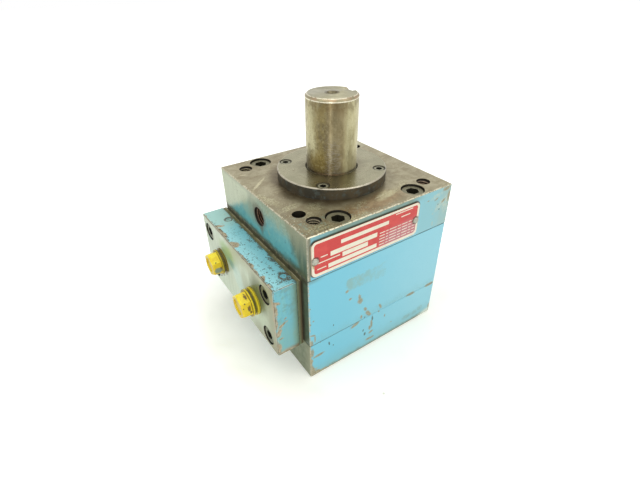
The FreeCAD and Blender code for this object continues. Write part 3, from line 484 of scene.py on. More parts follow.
def bare_top(s):
    """Stained bare steel of the front head's upper face, with painted shade towards its front left and round
    the ring: colour, roughness and grain.
    """
    cloud = s.noise(8, 5, 0.64, warp=0.7, seed=12)
    smear = s.noise(6, 5, 0.7, warp=0.8, stretch=(0.6, 1, 1), seed=21)
    shade = (s.x + s.y * 0.6 + s.wob * 26).rise(-40, -78)
    rust = spot(s.x, s.y, (-4, -49, 26, 8, 4), 1.1, smear, 0.5)
    wiped = spot(s.x, s.y, (-4, -46, 30, 8, 4), 1, cloud, 0.5)
    # Oil with painted shade round the ring, stronger towards its left and front.
    ring_oil_and_shade = (s.away(s.x, s.y) + s.wob * 10).rise(49, 38.6) * (1 - wiped * 0.7)
    ring_oil_and_shade = ring_oil_and_shade * (0.35 + 0.6 * (s.x + s.y * 0.4).rise(4, -26))
    light = spot(s.x, s.y, (11, -45, 9, 3.6, 14), 1.6, smear, 0.3)
    crust = spots(s.x, s.y, CRUSTS, 1.4, smear, 0.6) * s.fine.rise(0.42, 0.58)
    crust = crust * (0.3 + 0.7 * s.grain.rise(0.4, 0.5))
    pale = spot(s.x, s.y, (53, 41, 6, 8), 1.2, smear, 0.5)
    strokes = spots(s.x, s.y, STROKES, 1.8, s.fine, 0.4) * s.grain.rise(0.35, 0.5)
    corner = (s.y + 0.35 * s.x + s.wob * 16).rise(-44, -66)
    flecks = (s.cells(2.2, 6) + s.ragged * 0.5).rise(0.26, 0.14) * corner
    edge = s.out.low(s.along) + s.ragged * 3.4 + s.speck * 1.6
    strip = (s.x + s.wob * 16).rise(-40, -52) * (s.y + s.wob * 10).rise(12, -8)
    salt = (s.cells(1.5, 17) + s.speck * 0.7).rise(0.2, 0.1) * strip.high(corner) * smear.rise(0.36, 0.5)
    steel = s.layers(
        cloud.tone(0.34, 0.66, "#968c6e", "#afa789"),
        (shade * 0.7, "#82785e"),
        (smear.rise(0.46, 0.66) * 0.55, "#8a7c5c"),
        (rust * 0.8, smear.tone(0.4, 0.6, "#a48a62", "#886e4a")),
        (pale * 0.6, "#c8c6a5"),
        (spot(s.x, s.y, (38, 46, 11, 14), 1.2, cloud, 0.5) * 0.4, "#7a7056"),
        (ring_oil_and_shade * 0.9, cloud.tone(0.4, 0.6, "#564830", "#645638")),
        (light * 0.7, "#c0b68e"),
        (crust * 0.8, s.grain.tone(0.45, 0.65, "#bab890", "#ded8b0")),
        (strokes * 0.8, "#d4cda8"),
        (s.grain.rise(0.57, 0.66) * smear.rise(0.35, 0.6) * 0.6, "#5e5036"),
        (flecks * 0.7, s.grain.tone(0.45, 0.55, "#c4caa8", "#8cb2a8")),
        (corner * s.flake.rise(0.54, 0.64) * s.fine.rise(0.4, 0.52) * 0.45, "#80aca4"),
        (salt * 0.85, "#e2e0c0"),
        (edge.rise(1.1, 0.4) * s.fine.rise(0.42, 0.52) * 0.85, "#d8d3ba"),
        # Painted shade: a dark dot standing for a small hole near the rear edge.
        (spot(s.x, s.y, (1.6, 51.2, 1, 1)), GRIME_AND_SHADE),
    )
    return steel, 0.36 + s.wob * 0.3 + s.speck * 0.2, cloud * 0.4 + s.fine * 0.3 + crust * 0.3


# Bare places on the manifold: along its upper outer edge in x and y, on its end in x and z.
LIP_CHIPS = [
    (-75.4, 36, 4, 1.7, -22), (-77.6, 26, 2, 8), (-76.8, 8, 3, 4.6, 24), (-78.2, -10, 1.4, 8),
    (-77.8, -20, 1.6, 3), (-77.4, -36, 1.9, 2.4), (-78.2, -28, 1.2, 4),
]
END_CHIPS = [
    (-77, 73, 3.4, 1.2, -24), (-78.2, 67, 1.7, 6), (-73.8, 53.6, 3.4, 1.1, 28),
    (-76.8, 47.6, 4, 1.7, 66), (-78.2, 34, 2.6, 6), (-75.6, 42, 1.8, 0.7, 10),
    (-73, 28.4, 6.5, 1.2), (-78.4, 57, 1.6, 5), (-71.6, 58, 1.2, 0.6, 30),
]
# Brown marks on the upper face, round the front passage plug and along the seal plate, in x and y.
COVER_MARKS = [
    (-63.8, -45.6, 2.8, 1.6, 20), (-67.4, -44.8, 2, 1.2), (-66.2, -37.6, 1.4, 1.8), (-71, -46, 2.4, 0.9, 10),
    (-64, -22, 1.6, 3.4, 10), (-63.4, -6, 1.2, 3), (-65.4, 6, 1, 2.4, 20), (-68.6, -30, 1, 1.8, 30),
]
# Dark specks below the upper plug, in y and z.
SPECKS_BELOW_PLUG = [(41, 36, 3, 1.6, -40), (34.5, 41, 3, 1.6, -40), (28, 46.4, 3, 1.8, -30)]


def manifold_cover(s):
    """The manifold's upper face: cyan paint with grit, grime along the seal plate and marks at the plugs."""
    dense = (s.y + s.wob * 16).rise(36, 10)
    grit = s.noise(1.3, 4, 0.6, seed=31) + s.noise(8, 3, 0.55, seed=14).swing(0.24)
    dots = s.cells(2.6, 9) + s.ragged * 0.6
    inner = s.x + s.wob * 4 + s.ragged * 5 + s.speck * 3
    off_plugs = union([-abs(s.away(s.x, s.y, place) - 2.9) for place in PASSAGE_PLUGS])
    rings = (off_plugs + s.speck * 2).rise(-0.9, -0.3)
    rust = spot(s.x, s.y, (-65, -42.8, 5.4, 5), 1.6, s.chipping, 0.4)
    return s.layers(
        (s.x + s.wob * 8).tone(-78, -63, "#a0dce2", "#80c4ce"),
        ((s.y + s.wob * 20).rise(22, 44) * 0.8, "#a6cfc5"),
        ((s.x + s.wob * 7 + s.ragged * 6).rise(-66, -62) * 0.2, "#689892"),
        (s.flake.rise(0.6, 0.68) * s.y.rise(20, 44) * 0.7, "#a8ac94"),
        (inner.rise(-62.4, -61.2) * 0.7, "#687e68"),
        ((inner + s.broad * 6).rise(-60.8, -59.4) * s.fine.rise(0.46, 0.56) * 0.9, "#4e4830"),
        (s.flake.rise(0.64, 0.7) * dense * 0.8, "#706c50"),
        (rings * s.flake.rise(0.3, 0.45) * 0.9, "#5c4c36"),
        (rust * s.fine.rise(0.49, 0.56) * 0.9, "#54422c"),
        (spots(s.x, s.y, COVER_MARKS, 2.4, s.chipping, 0.25) * s.grain.rise(0.4, 0.52) * 0.85, "#504630"),
        (grit.rise(0.605, 0.645) * (0.2 + 0.8 * dense) * 0.95, "#3e3828"),
        (dots.rise(0.15, 0.1) * dense * 0.9, "#483e2a"),
    )


def manifold_face(s):
    """The manifold's outer face: pale rubbed paint with green, teal and olive stains round the plugs, and a
    painted shadow beside the lower plug.
    """
    front_edge = s.y - MANIFOLD_LOW.y + s.ragged * 9 + s.speck * 3
    return s.layers(
        s.upright.tone(0.35, 0.65, "#ceddc8", "#c2d2ba"),
        ((s.z + s.wob * 10).rise(70, 82) * s.y.rise(24, 8) * 0.7, "#a8ac8c"),
        (spot(s.y, s.z, (19, 70, 12, 8), 1, s.broad, 0.4) * 0.95, "#a0bf88"),
        (spot(s.y, s.z, (11, 64, 7, 4, 20), 1, s.broad, 0.4) * 0.85, "#86b0a2"),
        (spot(s.y, s.z, (3, 58, 8, 11, -12), 0.8, s.broad, 0.3) * 0.7, "#c4ded2"),
        (spot(s.y, s.z, (-9, 62, 6, 10), 1, s.broad, 0.5) * 0.5, "#a2ac8e"),
        ((s.y + s.wob * 14).rise(-32, -46) * 0.8, "#909374"),
        (s.y.rise(34, 54) * (s.z + s.wob * 12).rise(54, 66) * 0.4, "#acb8a0"),
        # Painted shadow beside the lower plug, tinted green.
        (spot(s.y, s.z, (-29, 66, 11, 13), 0.8, s.broad, 0.5) * 0.95, "#5a663a"),
        (front_edge.rise(3.4, 1.6) * (s.z + s.ragged * 10).rise(80, 70) * 0.8, "#b0a286"),
        ((s.z + s.wob * 10).rise(44, 28) * s.y.rise(-4, -28) * 0.8, "#929072"),
        (spots(s.y, s.z, SPECKS_BELOW_PLUG, 1.6, s.fine, 0.3) * s.grain.rise(0.4, 0.5) * 0.85, GRIME_AND_SHADE),
        ((s.above + s.ragged * 5).rise(2, 0.4) * 0.6, TAN),
        (s.fine.rise(0.62, 0.74) * 0.4, "#929276"),
        (s.grain.rise(0.62, 0.68) * s.broad.rise(0.45, 0.6) * 0.6, "#606248"),
    )


def manifold_end(s):
    """The manifold's ends: blue, olive towards the seal plate and brown along the bottom."""
    inner = s.x + s.wob * 4 + s.drip * 3
    low = s.below + s.wob * 6 + s.ragged * 4
    return s.layers(
        s.upright.tone(0.4, 0.65, "#68b5c6", "#76bcc2"),
        ((s.z + s.wob * 16 + s.drip * 14).rise(62, 34) * 0.5, "#7eaea6"),
        (inner.rise(-69, -62.5) * 0.85, inner.tone(-65, -61.6, "#749680", "#627050")),
        (s.flake.rise(0.48, 0.62) * (s.z + s.wob * 20).rise(44, 64) * 0.35, "#688270"),
        (low.rise(5, 0.6) * 0.85, s.x.tone(-74, -63, "#aca07e", "#765c3a")),
        (s.flake.rise(0.62, 0.7) * 0.4, "#8ca08c"),
    )


def manifold_finish():
    s = Worn("manifold_block")
    end = abs(s.ny).rise(0.6, 0.9)
    colour = s.layers(manifold_cover(s), (s.left, manifold_face(s)), (end, manifold_end(s)))
    lip = s.top * spots(s.x, s.y, LIP_CHIPS, 2.2, s.flake, 0.2)
    paint_edge = s.x - MANIFOLD_LOW.x + 0.6 - s.wob * 9 - s.ragged * 7 - s.speck * 2
    lip = lip.high(s.top * paint_edge.rise(1, 0.2))
    broken = s.top * paint_edge.about(1.3, 0.4) * s.fine.rise(0.4, 0.52) * s.y.rise(52, 40)
    corner = s.front * spots(s.x, s.z, END_CHIPS, 2.6, s.chipping, 0.25)
    bare = lip.high(corner)
    upper = s.out.high(s.above).low(s.along.high(s.above))
    rub = upper.low(s.out.high(s.along)).rise(0.9, 0.3) * s.flake.rise(0.4, 0.58)
    colour = s.layers(
        colour,
        (bare, s.fine.tone(0.4, 0.62, "#b8ac92", "#928468")),
        (broken * 0.8, "#584a34"),
        (rub * 0.85, s.grain.tone(0.42, 0.58, "#d6dece", "#b2ac92")),
        # Painted shade on the walls inside holes and bores.
        (s.out.low(s.along).low(s.below).low(s.above).rise(0.1, 0.4), "#26261c"),
    )
    rough = s.level(bare, 0.4 + s.speck * 0.2, 0.62)
    relief = (1 - bare) * 0.5 + s.fine * 0.3 + s.broad * 0.4
    return s.finish(colour, rough, relief, 0.09, bare * 0.2)


def seal_plate_finish():
    """The thin plate behind the manifold: olive grime on top, brown towards the body on its ends."""
    s = Surface("manifold_seal_plate")
    fine = s.noise(1, seed=4)
    flake = s.noise(3.6, 4, 0.66, stretch=(1, 0.4, 0.4), seed=11)
    ends = abs(s.ny).rise(0.6, 0.9)
    inner = s.x + fine.swing(0.8)
    lid = s.layers(
        flake.tone(0.36, 0.62, "#606242", "#7e7a54"),
        (inner.about(-59.6, 0.18) * flake.rise(0.4, 0.52) * 0.85, "#b0aa88"),
        (inner.rise(-59.4, -59.2) * 0.8, "#3a3624"),
        (flake.rise(0.6, 0.68) * 0.6, "#3c3a26"),
    )
    back = s.x.tone(-61.6, -59.2, "#7a8464", "#605236")
    colour = s.layers(lid, (ends, back), (fine.rise(0.6, 0.7) * 0.5, GRIME_AND_SHADE))
    return s.finish(colour, 0.55 + fine.swing(0.3), flake * 0.6 + fine * 0.4, 0.08)


def dark_side_way(s):
    """Distances from the shaft's axis towards its front left side, where the dark reflection is painted, and
    across that way.
    """
    return DARK_SIDE_X * s.x + DARK_SIDE_Y * s.y, DARK_SIDE_X * s.y - DARK_SIDE_Y * s.x


def shaft_finish():
    """Ground steel with a brown stain and a painted dark reflection on its front left side, a painted
    highlight over scratches, darker at its foot, and bright lines along its bevel's edges.
    """
    s = Surface("rotor_shaft")
    streaks = s.noise(2.2, 5, 0.65, stretch=(1, 1, 0.12), seed=1)
    wide = s.noise(7, stretch=(1, 1, 0.35), seed=4)
    cloud = s.noise(6, 5, 0.62, stretch=(1, 1, 0.6), seed=7)
    fine = s.noise(0.8, 3, 0.6, seed=9)
    mottle = s.noise(1.9, 4, 0.7, warp=0.4, seed=12)
    turned = s.noise(0.8, 4, 0.7, stretch=(0.3, 0.3, 1), seed=15)
    bevel = SHAFT_HIGH.z - 1.9
    reach = s.away(s.x, s.y)
    ahead, across = dark_side_way(s)
    across = across + wide.swing(6)
    # A brown stain with a painted dark reflection on the front left side.
    stain_and_dark_reflection = ahead.rise(0, 8) * across.rise(-14.5, -7) * across.rise(11, 6)
    yellow = stain_and_dark_reflection * across.about(-8, 2.4) * cloud.rise(0.35, 0.55)
    drips = (s.z + cloud.swing(16)).rise(163, 170.5) * cloud.rise(0.42, 0.54)
    foot = (s.z + cloud.swing(12)).rise(144, 130)
    blotched = across.rise(9, -5) * (0.25 + 0.75 * (s.z + cloud.swing(20)).rise(164, 140))
    olive = spot(across, s.z, (-9, 134, 5, 7), 1.2, cloud, 0.5)
    # Painted highlight over fine scratches, low in the middle of the front left side.
    scratches_and_highlight = across.about(0.5, 3.2) * (s.z + cloud.swing(14)).rise(156, 142) * turned.rise(0.44, 0.62)
    steel = s.layers(
        streaks.tone(0.36, 0.66, "#ccc7a2", "#beb68e"),
        (wide.rise(0.44, 0.64) * 0.5, "#a69d76"),
        (stain_and_dark_reflection * 0.9, cloud.tone(0.36, 0.64, "#6a5e44", "#7e7153")),
        (yellow * 0.6, "#948654"),
        (drips * 0.6, "#685638"),
        (cloud.rise(0.52, 0.72) * (0.5 - 0.4 * stain_and_dark_reflection), "#ccc7a2"),
        (cloud.rise(0.46, 0.3) * 0.5, "#706344"),
        (foot * (0.2 + 0.65 * across.rise(4, -12)), "#58482c"),
        (olive * 0.55, "#96844a"),
        ((mottle - cloud.swing(0.4)).rise(0.5, 0.6) * (0.06 + 0.36 * blotched), "#605232"),
        (mottle.rise(0.47, 0.38) * (0.05 + 0.16 * blotched), "#c8c398"),
        (scratches_and_highlight * 0.4, "#aca79c"),
        # Painted shade: darker at the sides where the shaft goes down into the ring.
        ((s.z + fine.swing(2)).rise(127.6, 125.8) * (0.15 + 0.45 * abs(across).rise(7, 13)), "#3e3220"),
        # Painted light: a lighter reddish brown in front, low in the gap inside the ring, where shade falls.
        (s.z.rise(126, 125.2) * abs(across).rise(13, 6) * (0.5 + 0.5 * wide.rise(0.4, 0.6)), "#9e8464"),
        (fine.rise(0.6, 0.7) * 0.45, "#5c5038"),
    )
    end = cloud.tone(0.35, 0.65, "#9e997c", "#b0ab90")
    copper = cloud.tone(0.4, 0.6, "#9c9476", "#ac9678")
    steel = s.layers(
        steel,
        (s.z.rise(bevel - 0.2, bevel + 0.1), copper),
        (s.nz.rise(0.85, 0.98), end),
        ((s.z + fine.swing(0.6)).about(bevel - 0.1, 0.22) * streaks.rise(0.33, 0.46) * 0.9, "#e8e3cc"),
        ((reach + fine.swing(0.5)).about(SHAFT_RADIUS - 1.2, 0.2) * s.z.rise(bevel, bevel + 0.6)
         * streaks.rise(0.36, 0.5) * 0.85, "#e6e0c8"),
        (reach.rise(5.2, 4.6) * s.z.rise(160, 170), "#7a725a"),
    )
    rough = 0.4 + wide.swing(0.2) + fine.swing(0.12) + turned.swing(0.2) + scratches_and_highlight * 0.1
    ground = s.add("Tangent", direction_type="RADIAL", axis="Z")
    s.feed(s.shader, Tangent=ground.outputs[0], Anisotropic=0.9)
    s.put(s.shader.inputs["Anisotropic Rotation"], 0.25)
    return s.finish(steel, rough, streaks * 0.4 + fine * 0.3 + turned * 0.3, 0.02, 0.9)


def ring_finish():
    """Turned steel cover: brownish top with fine rings, darker near the shaft and in front as a painted
    reflection of it, a pale outer edge of wear with a painted highlight, painted shade with grime round the
    screws, and a dark oily rim.
    """
    s = Surface("retainer_ring")
    reach = s.away(s.x, s.y)
    turned = (reach * 9).op("SINE") * 0.5 + 0.5
    cloud = s.noise(11, 4, 0.6, seed=3)
    fine = s.noise(1.2, seed=5)
    flake = s.noise(4, 4, 0.66, seed=8)
    top = s.nz.rise(0.5, 0.85)
    bores = s.away(abs(s.x), abs(s.y), (RING_SCREW, RING_SCREW))
    ahead, across = dark_side_way(s)
    aside = abs(across) + cloud.swing(14)
    rub = (reach + flake.swing(1.4)).rise(RING_HIGH.x - 1, RING_HIGH.x - 0.6) * flake.rise(0.3, 0.5)
    plain = s.layers(
        cloud.tone(0.35, 0.65, "#9a9679", "#a6a184"),
        # Painted reflection of the shaft: darker in front of it.
        (ahead.rise(14, 26) * aside.rise(16, 6) * 0.4, "#70644a"),
        # Painted reflection of the shaft: darker near it.
        ((reach + cloud.swing(10)).rise(27, 17) * 0.55, "#685c42"),
        (flake.rise(0.56, 0.7) * 0.4, "#84785a"),
        (fine.rise(0.58, 0.72) * 0.45, "#7a6e52"),
        # Wear with a painted highlight: a pale outer edge, stronger on the left.
        (rub * (0.4 + 0.45 * s.x.rise(24, 0)), "#dcd4c0"),
        # Painted shade with grime: a dark ring round each screw head.
        ((bores + fine.swing(0.6)).rise(4.7, 4.4) * 0.85, "#342e22"),
    )
    rim = s.layers(
        cloud.tone(0.38, 0.62, "#322f24", "#4a402c"),
        (flake.rise(0.52, 0.66) * 0.6, "#505a56"),
        (fine.rise(0.58, 0.7) * 0.6, "#24211a"),
        ((s.z + flake.swing(2)).rise(RING_HIGH.z - 1.1, RING_HIGH.z - 0.3) * 0.4, "#8c8064"),
    )
    rough = s.level(top, 0.6, 0.26 + cloud.swing(0.16))
    metal = s.level(top, 0.15, 0.9)
    return s.finish(s.blend(top, rim, plain), rough, turned * 0.25 + fine * 0.4, 0.03, metal)


def screw_finish(name, light, dark, axis, rim=None):
    """Oily screw steel: worn pale top, dark inside the socket. The heads face up or to the left.

    rim is how far the head's clean part reaches from its axis; beyond it the head is painted dark, as grime
    and as shade in the gap round it."""
    s = Surface(name)
    fine = s.noise(1.1, 4, 0.6, seed=2)
    cloud = s.noise(5, 3, 0.6, seed=6)
    facing = {"up": s.nz, "left": -s.nx}[axis].rise(0.5, 0.9)
    colour = s.layers(
        dark,
        (facing * (0.55 + cloud * 0.45), light),
        (fine.rise(0.54, 0.7) * 0.5, GRIME_AND_SHADE),
    )
    if rim:
        off = s.away(abs(s.x), abs(s.y), (RING_SCREW, RING_SCREW))
        # Painted shade with grime in the gap round the head.
        colour = s.blend((off + fine.swing(0.8)).rise(rim, rim + 0.4) * 0.85, colour, GRIME_AND_SHADE)
    return s.finish(colour, 0.45 + cloud.swing(0.3), fine, 0.05, 0.6)


def passage_plug_finish():
    """Small plugs painted over with the manifold, brown where the paint has broken at their rims."""
    s = Surface("passage_plugs")
    fine = s.noise(0.9, seed=5)
    off = s.away(s.x, abs(s.y), PASSAGE_PLUGS[1])
    colour = s.layers(
        s.y.tone(-20, 20, "#74becc", "#98c2bc"),
        (fine.rise(0.5, 0.66) * 0.6, "#787056"),
        ((off + fine.swing(1.4)).rise(1.9, 2.3), "#544630"),
    )
    return s.finish(colour, 0.45 + fine.swing(0.2), fine, 0.05)


def thread_finish(off, crest, root, light, dark):
    """Cut threads, light on the crests as a painted highlight and dark in the roots as painted shade. off is
    the distance from the hole's axis.
    """
    s = off.owner
    fine = s.noise(1, seed=3)
    colour = s.layers(
        dark,
        (off.rise(root, crest) * fine.rise(0.3, 0.62), light),
        (fine.rise(0.58, 0.68) * 0.6, GRIME_AND_SHADE),
    )
    return s.finish(colour, 0.5 + fine.swing(0.2), fine, 0.04, 0.4)


def speckled(name, under, over, size, metal, rough, depth, seed=0):
    """A plain two-tone finish for pieces that are mostly out of sight."""
    s = Surface(name)
    cloud = s.noise(size, 4, 0.6, seed=seed)
    fine = s.noise(size * 0.18, 3, 0.6, seed=seed + 4)
    colour = s.layers(under, (cloud.rise(0.35, 0.65), over), (fine.rise(0.6, 0.75) * 0.3, GRIME_AND_SHADE))
    return s.finish(colour, rough + fine.swing(0.2), fine, depth, metal)


# Dirt on the plugs' hexagons: how far out from the manifold, and how far round from the top to the front.
HEX_REACH = 8.5
UPPER_PATCHES = [(8, 8, 0.5, 0.5), (5, 13.5, 0.6, 1.2)]
LOWER_PATCHES = [
    (7, 2.2, 0.9, 2.4), (7.2, 11.2, 1, 2), (6.5, 14.4, 0.7, 1), (9.6, 7, 0.6, 0.4, 15), (11, 10, 0.4, 0.5),
]


def plug_finish(name, mouth, seed, patches, soil, smear):
    """Yellow moulded plastic with dirt in its grooves, on its end and in patches.

    The neck starts at mouth and a brown band, dirt with painted shade, reaches out to soil, both from the
    manifold's face. smear is the strength of a grey mark on the hexagon's lower front."""
    s = Surface(name)
    low, high = span(name)
    fine = s.noise(0.9, seed=seed)
    cloud = s.noise(3.2, 4, 0.66, seed=seed + 3)
    out = MANIFOLD_LOW.x - s.x
    neck = mouth + 2
    flange = neck + 1.3
    middle = (low + high) / 2
    round_off = s.math("ARCTAN2", middle.y - s.y, s.z - middle.z) * HEX_REACH
    marks = spots(out, round_off, patches, 1.8, fine, 0.4)
    # A brown band from the manifold's face: dirt with painted shade.
    soiled = (out + fine.swing(0.8)).rise(soil + 0.3, soil - 0.3)
    groove = out.rise(mouth - 0.1, mouth + 0.3) * out.rise(neck + 0.1, neck - 0.3)
    creases = union([out.about(place, 0.14) for place in (neck + 0.1, flange, mouth * 0.5)])
    end = s.nx.rise(-0.75, -0.95) * out.rise(flange + 4, flange + 5)
    grey = spot(out, round_off, (flange + 3, 14.8, 3, 2.3), 0.8, cloud, 0.3)
    colour = s.layers(
        cloud.tone(0.3, 0.6, "#e8c80e", "#f6e22c"),
        # Painted shade: the hexagon's side and lower facets a deeper orange.
        (s.nz.rise(0.45, 0.05) * out.rise(flange, flange + 0.6) * (0.3 + cloud * 0.4), "#deb208"),
        (groove * 0.9, "#3e4624"),
        (soiled * 0.85, fine.tone(0.4, 0.6, "#544822", "#786828")),
        (creases * 0.75, "#68561c"),
        (end * (0.45 + fine * 0.5), "#ceb854"),
        (grey * smear, "#68888c"),
        (fine.rise(0.64, 0.7) * 0.7, "#785c1e"),
        (marks * 0.9, fine.tone(0.42, 0.58, "#302614", "#704e16")),
    )
    return s.finish(colour, 0.42 + fine.swing(0.3), cloud * 0.4 + fine * 0.3, 0.08)


def screw_grime(s, fine):
    """1 in the dirt that has gathered round the heads of the plate's two screws."""
    low, high = span("nameplate_screws")
    radius = (high.z - low.z) / 2
    off = s.away(abs(s.x - (low.x + high.x) / 2), s.z, ((high.x - low.x) / 2 - radius, low.z + radius))
    return (off + fine.swing(1.6)).rise(radius + 1.2, radius + 0.5)


def plate_finish():
    """Red printed plate, faded to mauve at its lower right."""
    s = Surface("nameplate")
    fine = s.noise(1.2, 4, 0.6, seed=3)
    cloud = s.noise(9, 3, 0.6, seed=8)
    faded = (s.x + cloud.swing(12)).rise(-10, 6) * (s.z - s.x * 0.1 + cloud.swing(6)).rise(104, 96)
    colour = s.layers(
        cloud.tone(0.4, 0.7, "#c83230", "#d2423c"),
        (faded * 0.7, "#b8808c"),
        (fine.rise(0.62, 0.76) * 0.5, "#963c34"),
        (screw_grime(s, fine) * 0.85, "#5c1c14"),
        # The plate's edges: cream, the upper one dark olive, dirt with painted shade of the gap above it.
        (s.ny.rise(-0.75, -0.45), s.nz.tone(0.3, 0.7, "#cec8b2", "#504e36")),
    )
    return s.finish(colour, 0.38 + fine.swing(0.2), fine, 0.02)


def print_finish():
    """Cream ink, worn and yellowed in places."""
    s = Surface("nameplate_print")
    fine = s.noise(0.9, 4, 0.6, seed=5)
    cloud = s.noise(7, 3, 0.6, seed=2)
    colour = s.layers(
        "#ece6d2",
        (cloud.rise(0.45, 0.7) * 0.4, "#dcd2b8"),
        (fine.rise(0.6, 0.72) * 0.5, "#b29c82"),
        (spot(s.x, s.z, (-54.6, 97.2, 1.8, 1.8), 0.8, fine, 0.4) * 0.8, "#b09c60"),
        (screw_grime(s, fine) * 0.7, "#4a4630"),
    )
    return s.finish(colour, 0.45 + fine.swing(0.2), fine, 0.02)


def placed(name, data):
    """A new object in the scene."""
    obj = bpy.data.objects.new(name, data)
    bpy.context.scene.collection.objects.link(obj)
    return obj


def piece(name, verts, faces, material):
    """A mesh from millimetre points that rides on the housing."""
    mesh = bpy.data.meshes.new(name)
    mesh.from_pydata([Vector(v) * MM for v in verts], [], faces)
    work = bmesh.new()
    work.from_mesh(mesh)
    bmesh.ops.recalc_face_normals(work, faces=work.faces)
    work.to_mesh(mesh)
    work.free()
    mesh.materials.append(material)
    obj = placed(name, mesh)
    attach(obj, "housing")


def join_outlines(faces, first, count, pairs):
    """Close the bands between outlines of count points each, given as pairs of outlines."""
    for index in range(count):
        following = (index + 1) % count
        for one, other in pairs:
            a = first + one * count
            b = first + other * count
            faces.append((a + index, a + following, b + following, b + index))


# Internal threads: outer and inner radius, pitch and length.
MOUNT_THREAD = (4.74, 3.95, 1.59, 19.5)
DRAIN_THREAD = (6.68, 5.8, 1.41, 12.5)
# Points round each turn, and half the ridge's width at its root and crest in pitches.
TURN_STEPS = 40
ROOT_HALF, CREST_HALF = 0.42, 0.07
# What is left of the ridge's height where it starts and ends.
RUNOUT = 0.05


def thread_ridge(verts, faces, mouth, inward, across, size):
    """Add one internal thread: a ridge that winds down a hole from its mouth."""
    major, minor, pitch, length = size
    inward, across = Vector(inward), Vector(across)
    third = inward.cross(across)
    count = int(length / pitch * TURN_STEPS)
    first = len(verts)
    for index in range(count + 1):
        angle = 2 * math.pi * index / TURN_STEPS
        spoke = across * math.cos(angle) + third * math.sin(angle)
        depth = 0.5 * pitch + pitch * index / TURN_STEPS
        grow = min(1, index / TURN_STEPS, (count - index) / TURN_STEPS)
        crest = major - (major - minor) * max(grow, RUNOUT)
        for radius, offset in ((major, -ROOT_HALF), (crest, -CREST_HALF),
                               (crest, CREST_HALF), (major, ROOT_HALF)):
            verts.append(Vector(mouth) + spoke * radius + inward * (depth + offset * pitch))
    join_outlines(faces, first, 4, [(index, index + 1) for index in range(count)])
    last = first + 4 * count
    faces.append((first, first + 3, first + 2, first + 1))
    faces.append((last, last + 1, last + 2, last + 3))


def build_threads():
    verts, faces = [], []
    for x, y in CORNERS:
        mouth = (x * MOUNT_REACH, y * MOUNT_REACH, HEAD_HIGH.z)
        thread_ridge(verts, faces, mouth, (0, 0, -1), (1, 0, 0), MOUNT_THREAD)
    s = Surface("mounting_threads")
    off = s.away(abs(s.x), abs(s.y), (MOUNT_REACH, MOUNT_REACH))
    material = thread_finish(off, 4.1, 4.6, s.x.tone(-10, 10, "#b0a482", "#a48a70"), "#282219")
    piece("mounting_threads", verts, faces, material)
    verts, faces = [], []
    thread_ridge(verts, faces, (HEAD_LOW.x, 0, DRAIN_HEIGHT), (1, 0, 0), (0, 1, 0), DRAIN_THREAD)
    s = Surface("drain_thread")
    off = s.away(s.y, s.z, (0, DRAIN_HEIGHT))
    material = thread_finish(off, 5.9, 6.5, "#96745c", "#30261c")
    piece("drain_thread", verts, faces, material)


def rounded(left, right, low, high, corner, steps=6):
    """Outline of a rectangle with rounded corners, as (x, z) points."""
    points = []
    for cx, cz, start in ((right - corner, high - corner, 0), (left + corner, high - corner, 90),
                          (left + corner, low + corner, 180), (right - corner, low + corner, 270)):
        for index in range(steps + 1):
            angle = math.radians(start + 90 * index / steps)
            points.append((cx + corner * math.cos(angle), cz + corner * math.sin(angle)))
    return points


def raised_ring(verts, faces, outer, inner, back, front):
    """A closed band between two outlines with as many points, upright on the plate."""
    first = len(verts)
    for outline, y in ((outer, back), (outer, front), (inner, front), (inner, back)):
        verts.extend((x, y, z) for x, z in outline)
    join_outlines(faces, first, len(outer), ((0, 1), (1, 2), (2, 3), (3, 0)))


def raised_patch(verts, faces, outline, back, front):
    """A closed flat patch that stands on the plate."""
    count = len(outline)
    first = len(verts)
    for y in (back, front):
        verts.extend((x, y, z) for x, z in outline)
    faces.append(tuple(range(first, first + count)))
    faces.append(tuple(range(first + 2 * count - 1, first + count - 1, -1)))
    join_outlines(faces, first, count, ((0, 1),))


# The plate's blank fields: left, right, lower and upper edge.
PLATE_FIELDS = [
    (-36, 1.5, 106, 108.6), (-43.5, -7.7, 100, 103.2), (-34.7, -15, 96.1, 99.2), (-45, -7.6, 92.1, 95),
    (-50.5, -45.5, 101.6, 102.3), (-52.5, -36.5, 97.8, 98.5), (-53, -46.5, 93.6, 94.3),
    (7, 22, 110.6, 111.3), (12, 20, 107.2, 107.9),
]
# Rows of thin dashes at the plate's right: where they run, their pitch, and lengths used in turn.
ROWS_LEFT, ROWS_RIGHT, ROWS_LOW = -5.5, 24.5, 92.4
ROW_COUNT, ROW_PITCH = 5, 2.2
DASHES = (4.6, 2, 6.2, 3.1, 5, 2.6, 7)
DASH_GAP, DASH_WIDTH = 0.8, 0.6
# How far the print stands out of the plate and reaches into it.
PRINT_PROUD, PRINT_SUNK = 0.06, 0.03
# The border's outlines: from the plate's sides, bottom and top, and their corners.
BORDER_OUTER = (0.1, 0.1, 0.1, 3.4)
BORDER_INNER = (1.8, 2.1, 1.7, 2)
FIELD_CORNER = 0.2


def dashed_rows():
    """The dashes' left, right, lower and upper edges."""
    dashes = []
    turn = 0
    for row in range(ROW_COUNT):
        low = ROWS_LOW + ROW_PITCH * row
        left = ROWS_LEFT
        while left < ROWS_RIGHT:
            right = min(left + DASHES[turn % len(DASHES)], ROWS_RIGHT + 1)
            dashes.append((left, right, low, low + DASH_WIDTH))
            left = right + DASH_GAP
            turn += 1
    return dashes


def inset(side, low, high, corner):
    """A rounded outline inside the plate's own edges."""
    return rounded(PLATE_LOW.x + side, PLATE_HIGH.x - side, PLATE_LOW.z + low, PLATE_HIGH.z - high, corner)


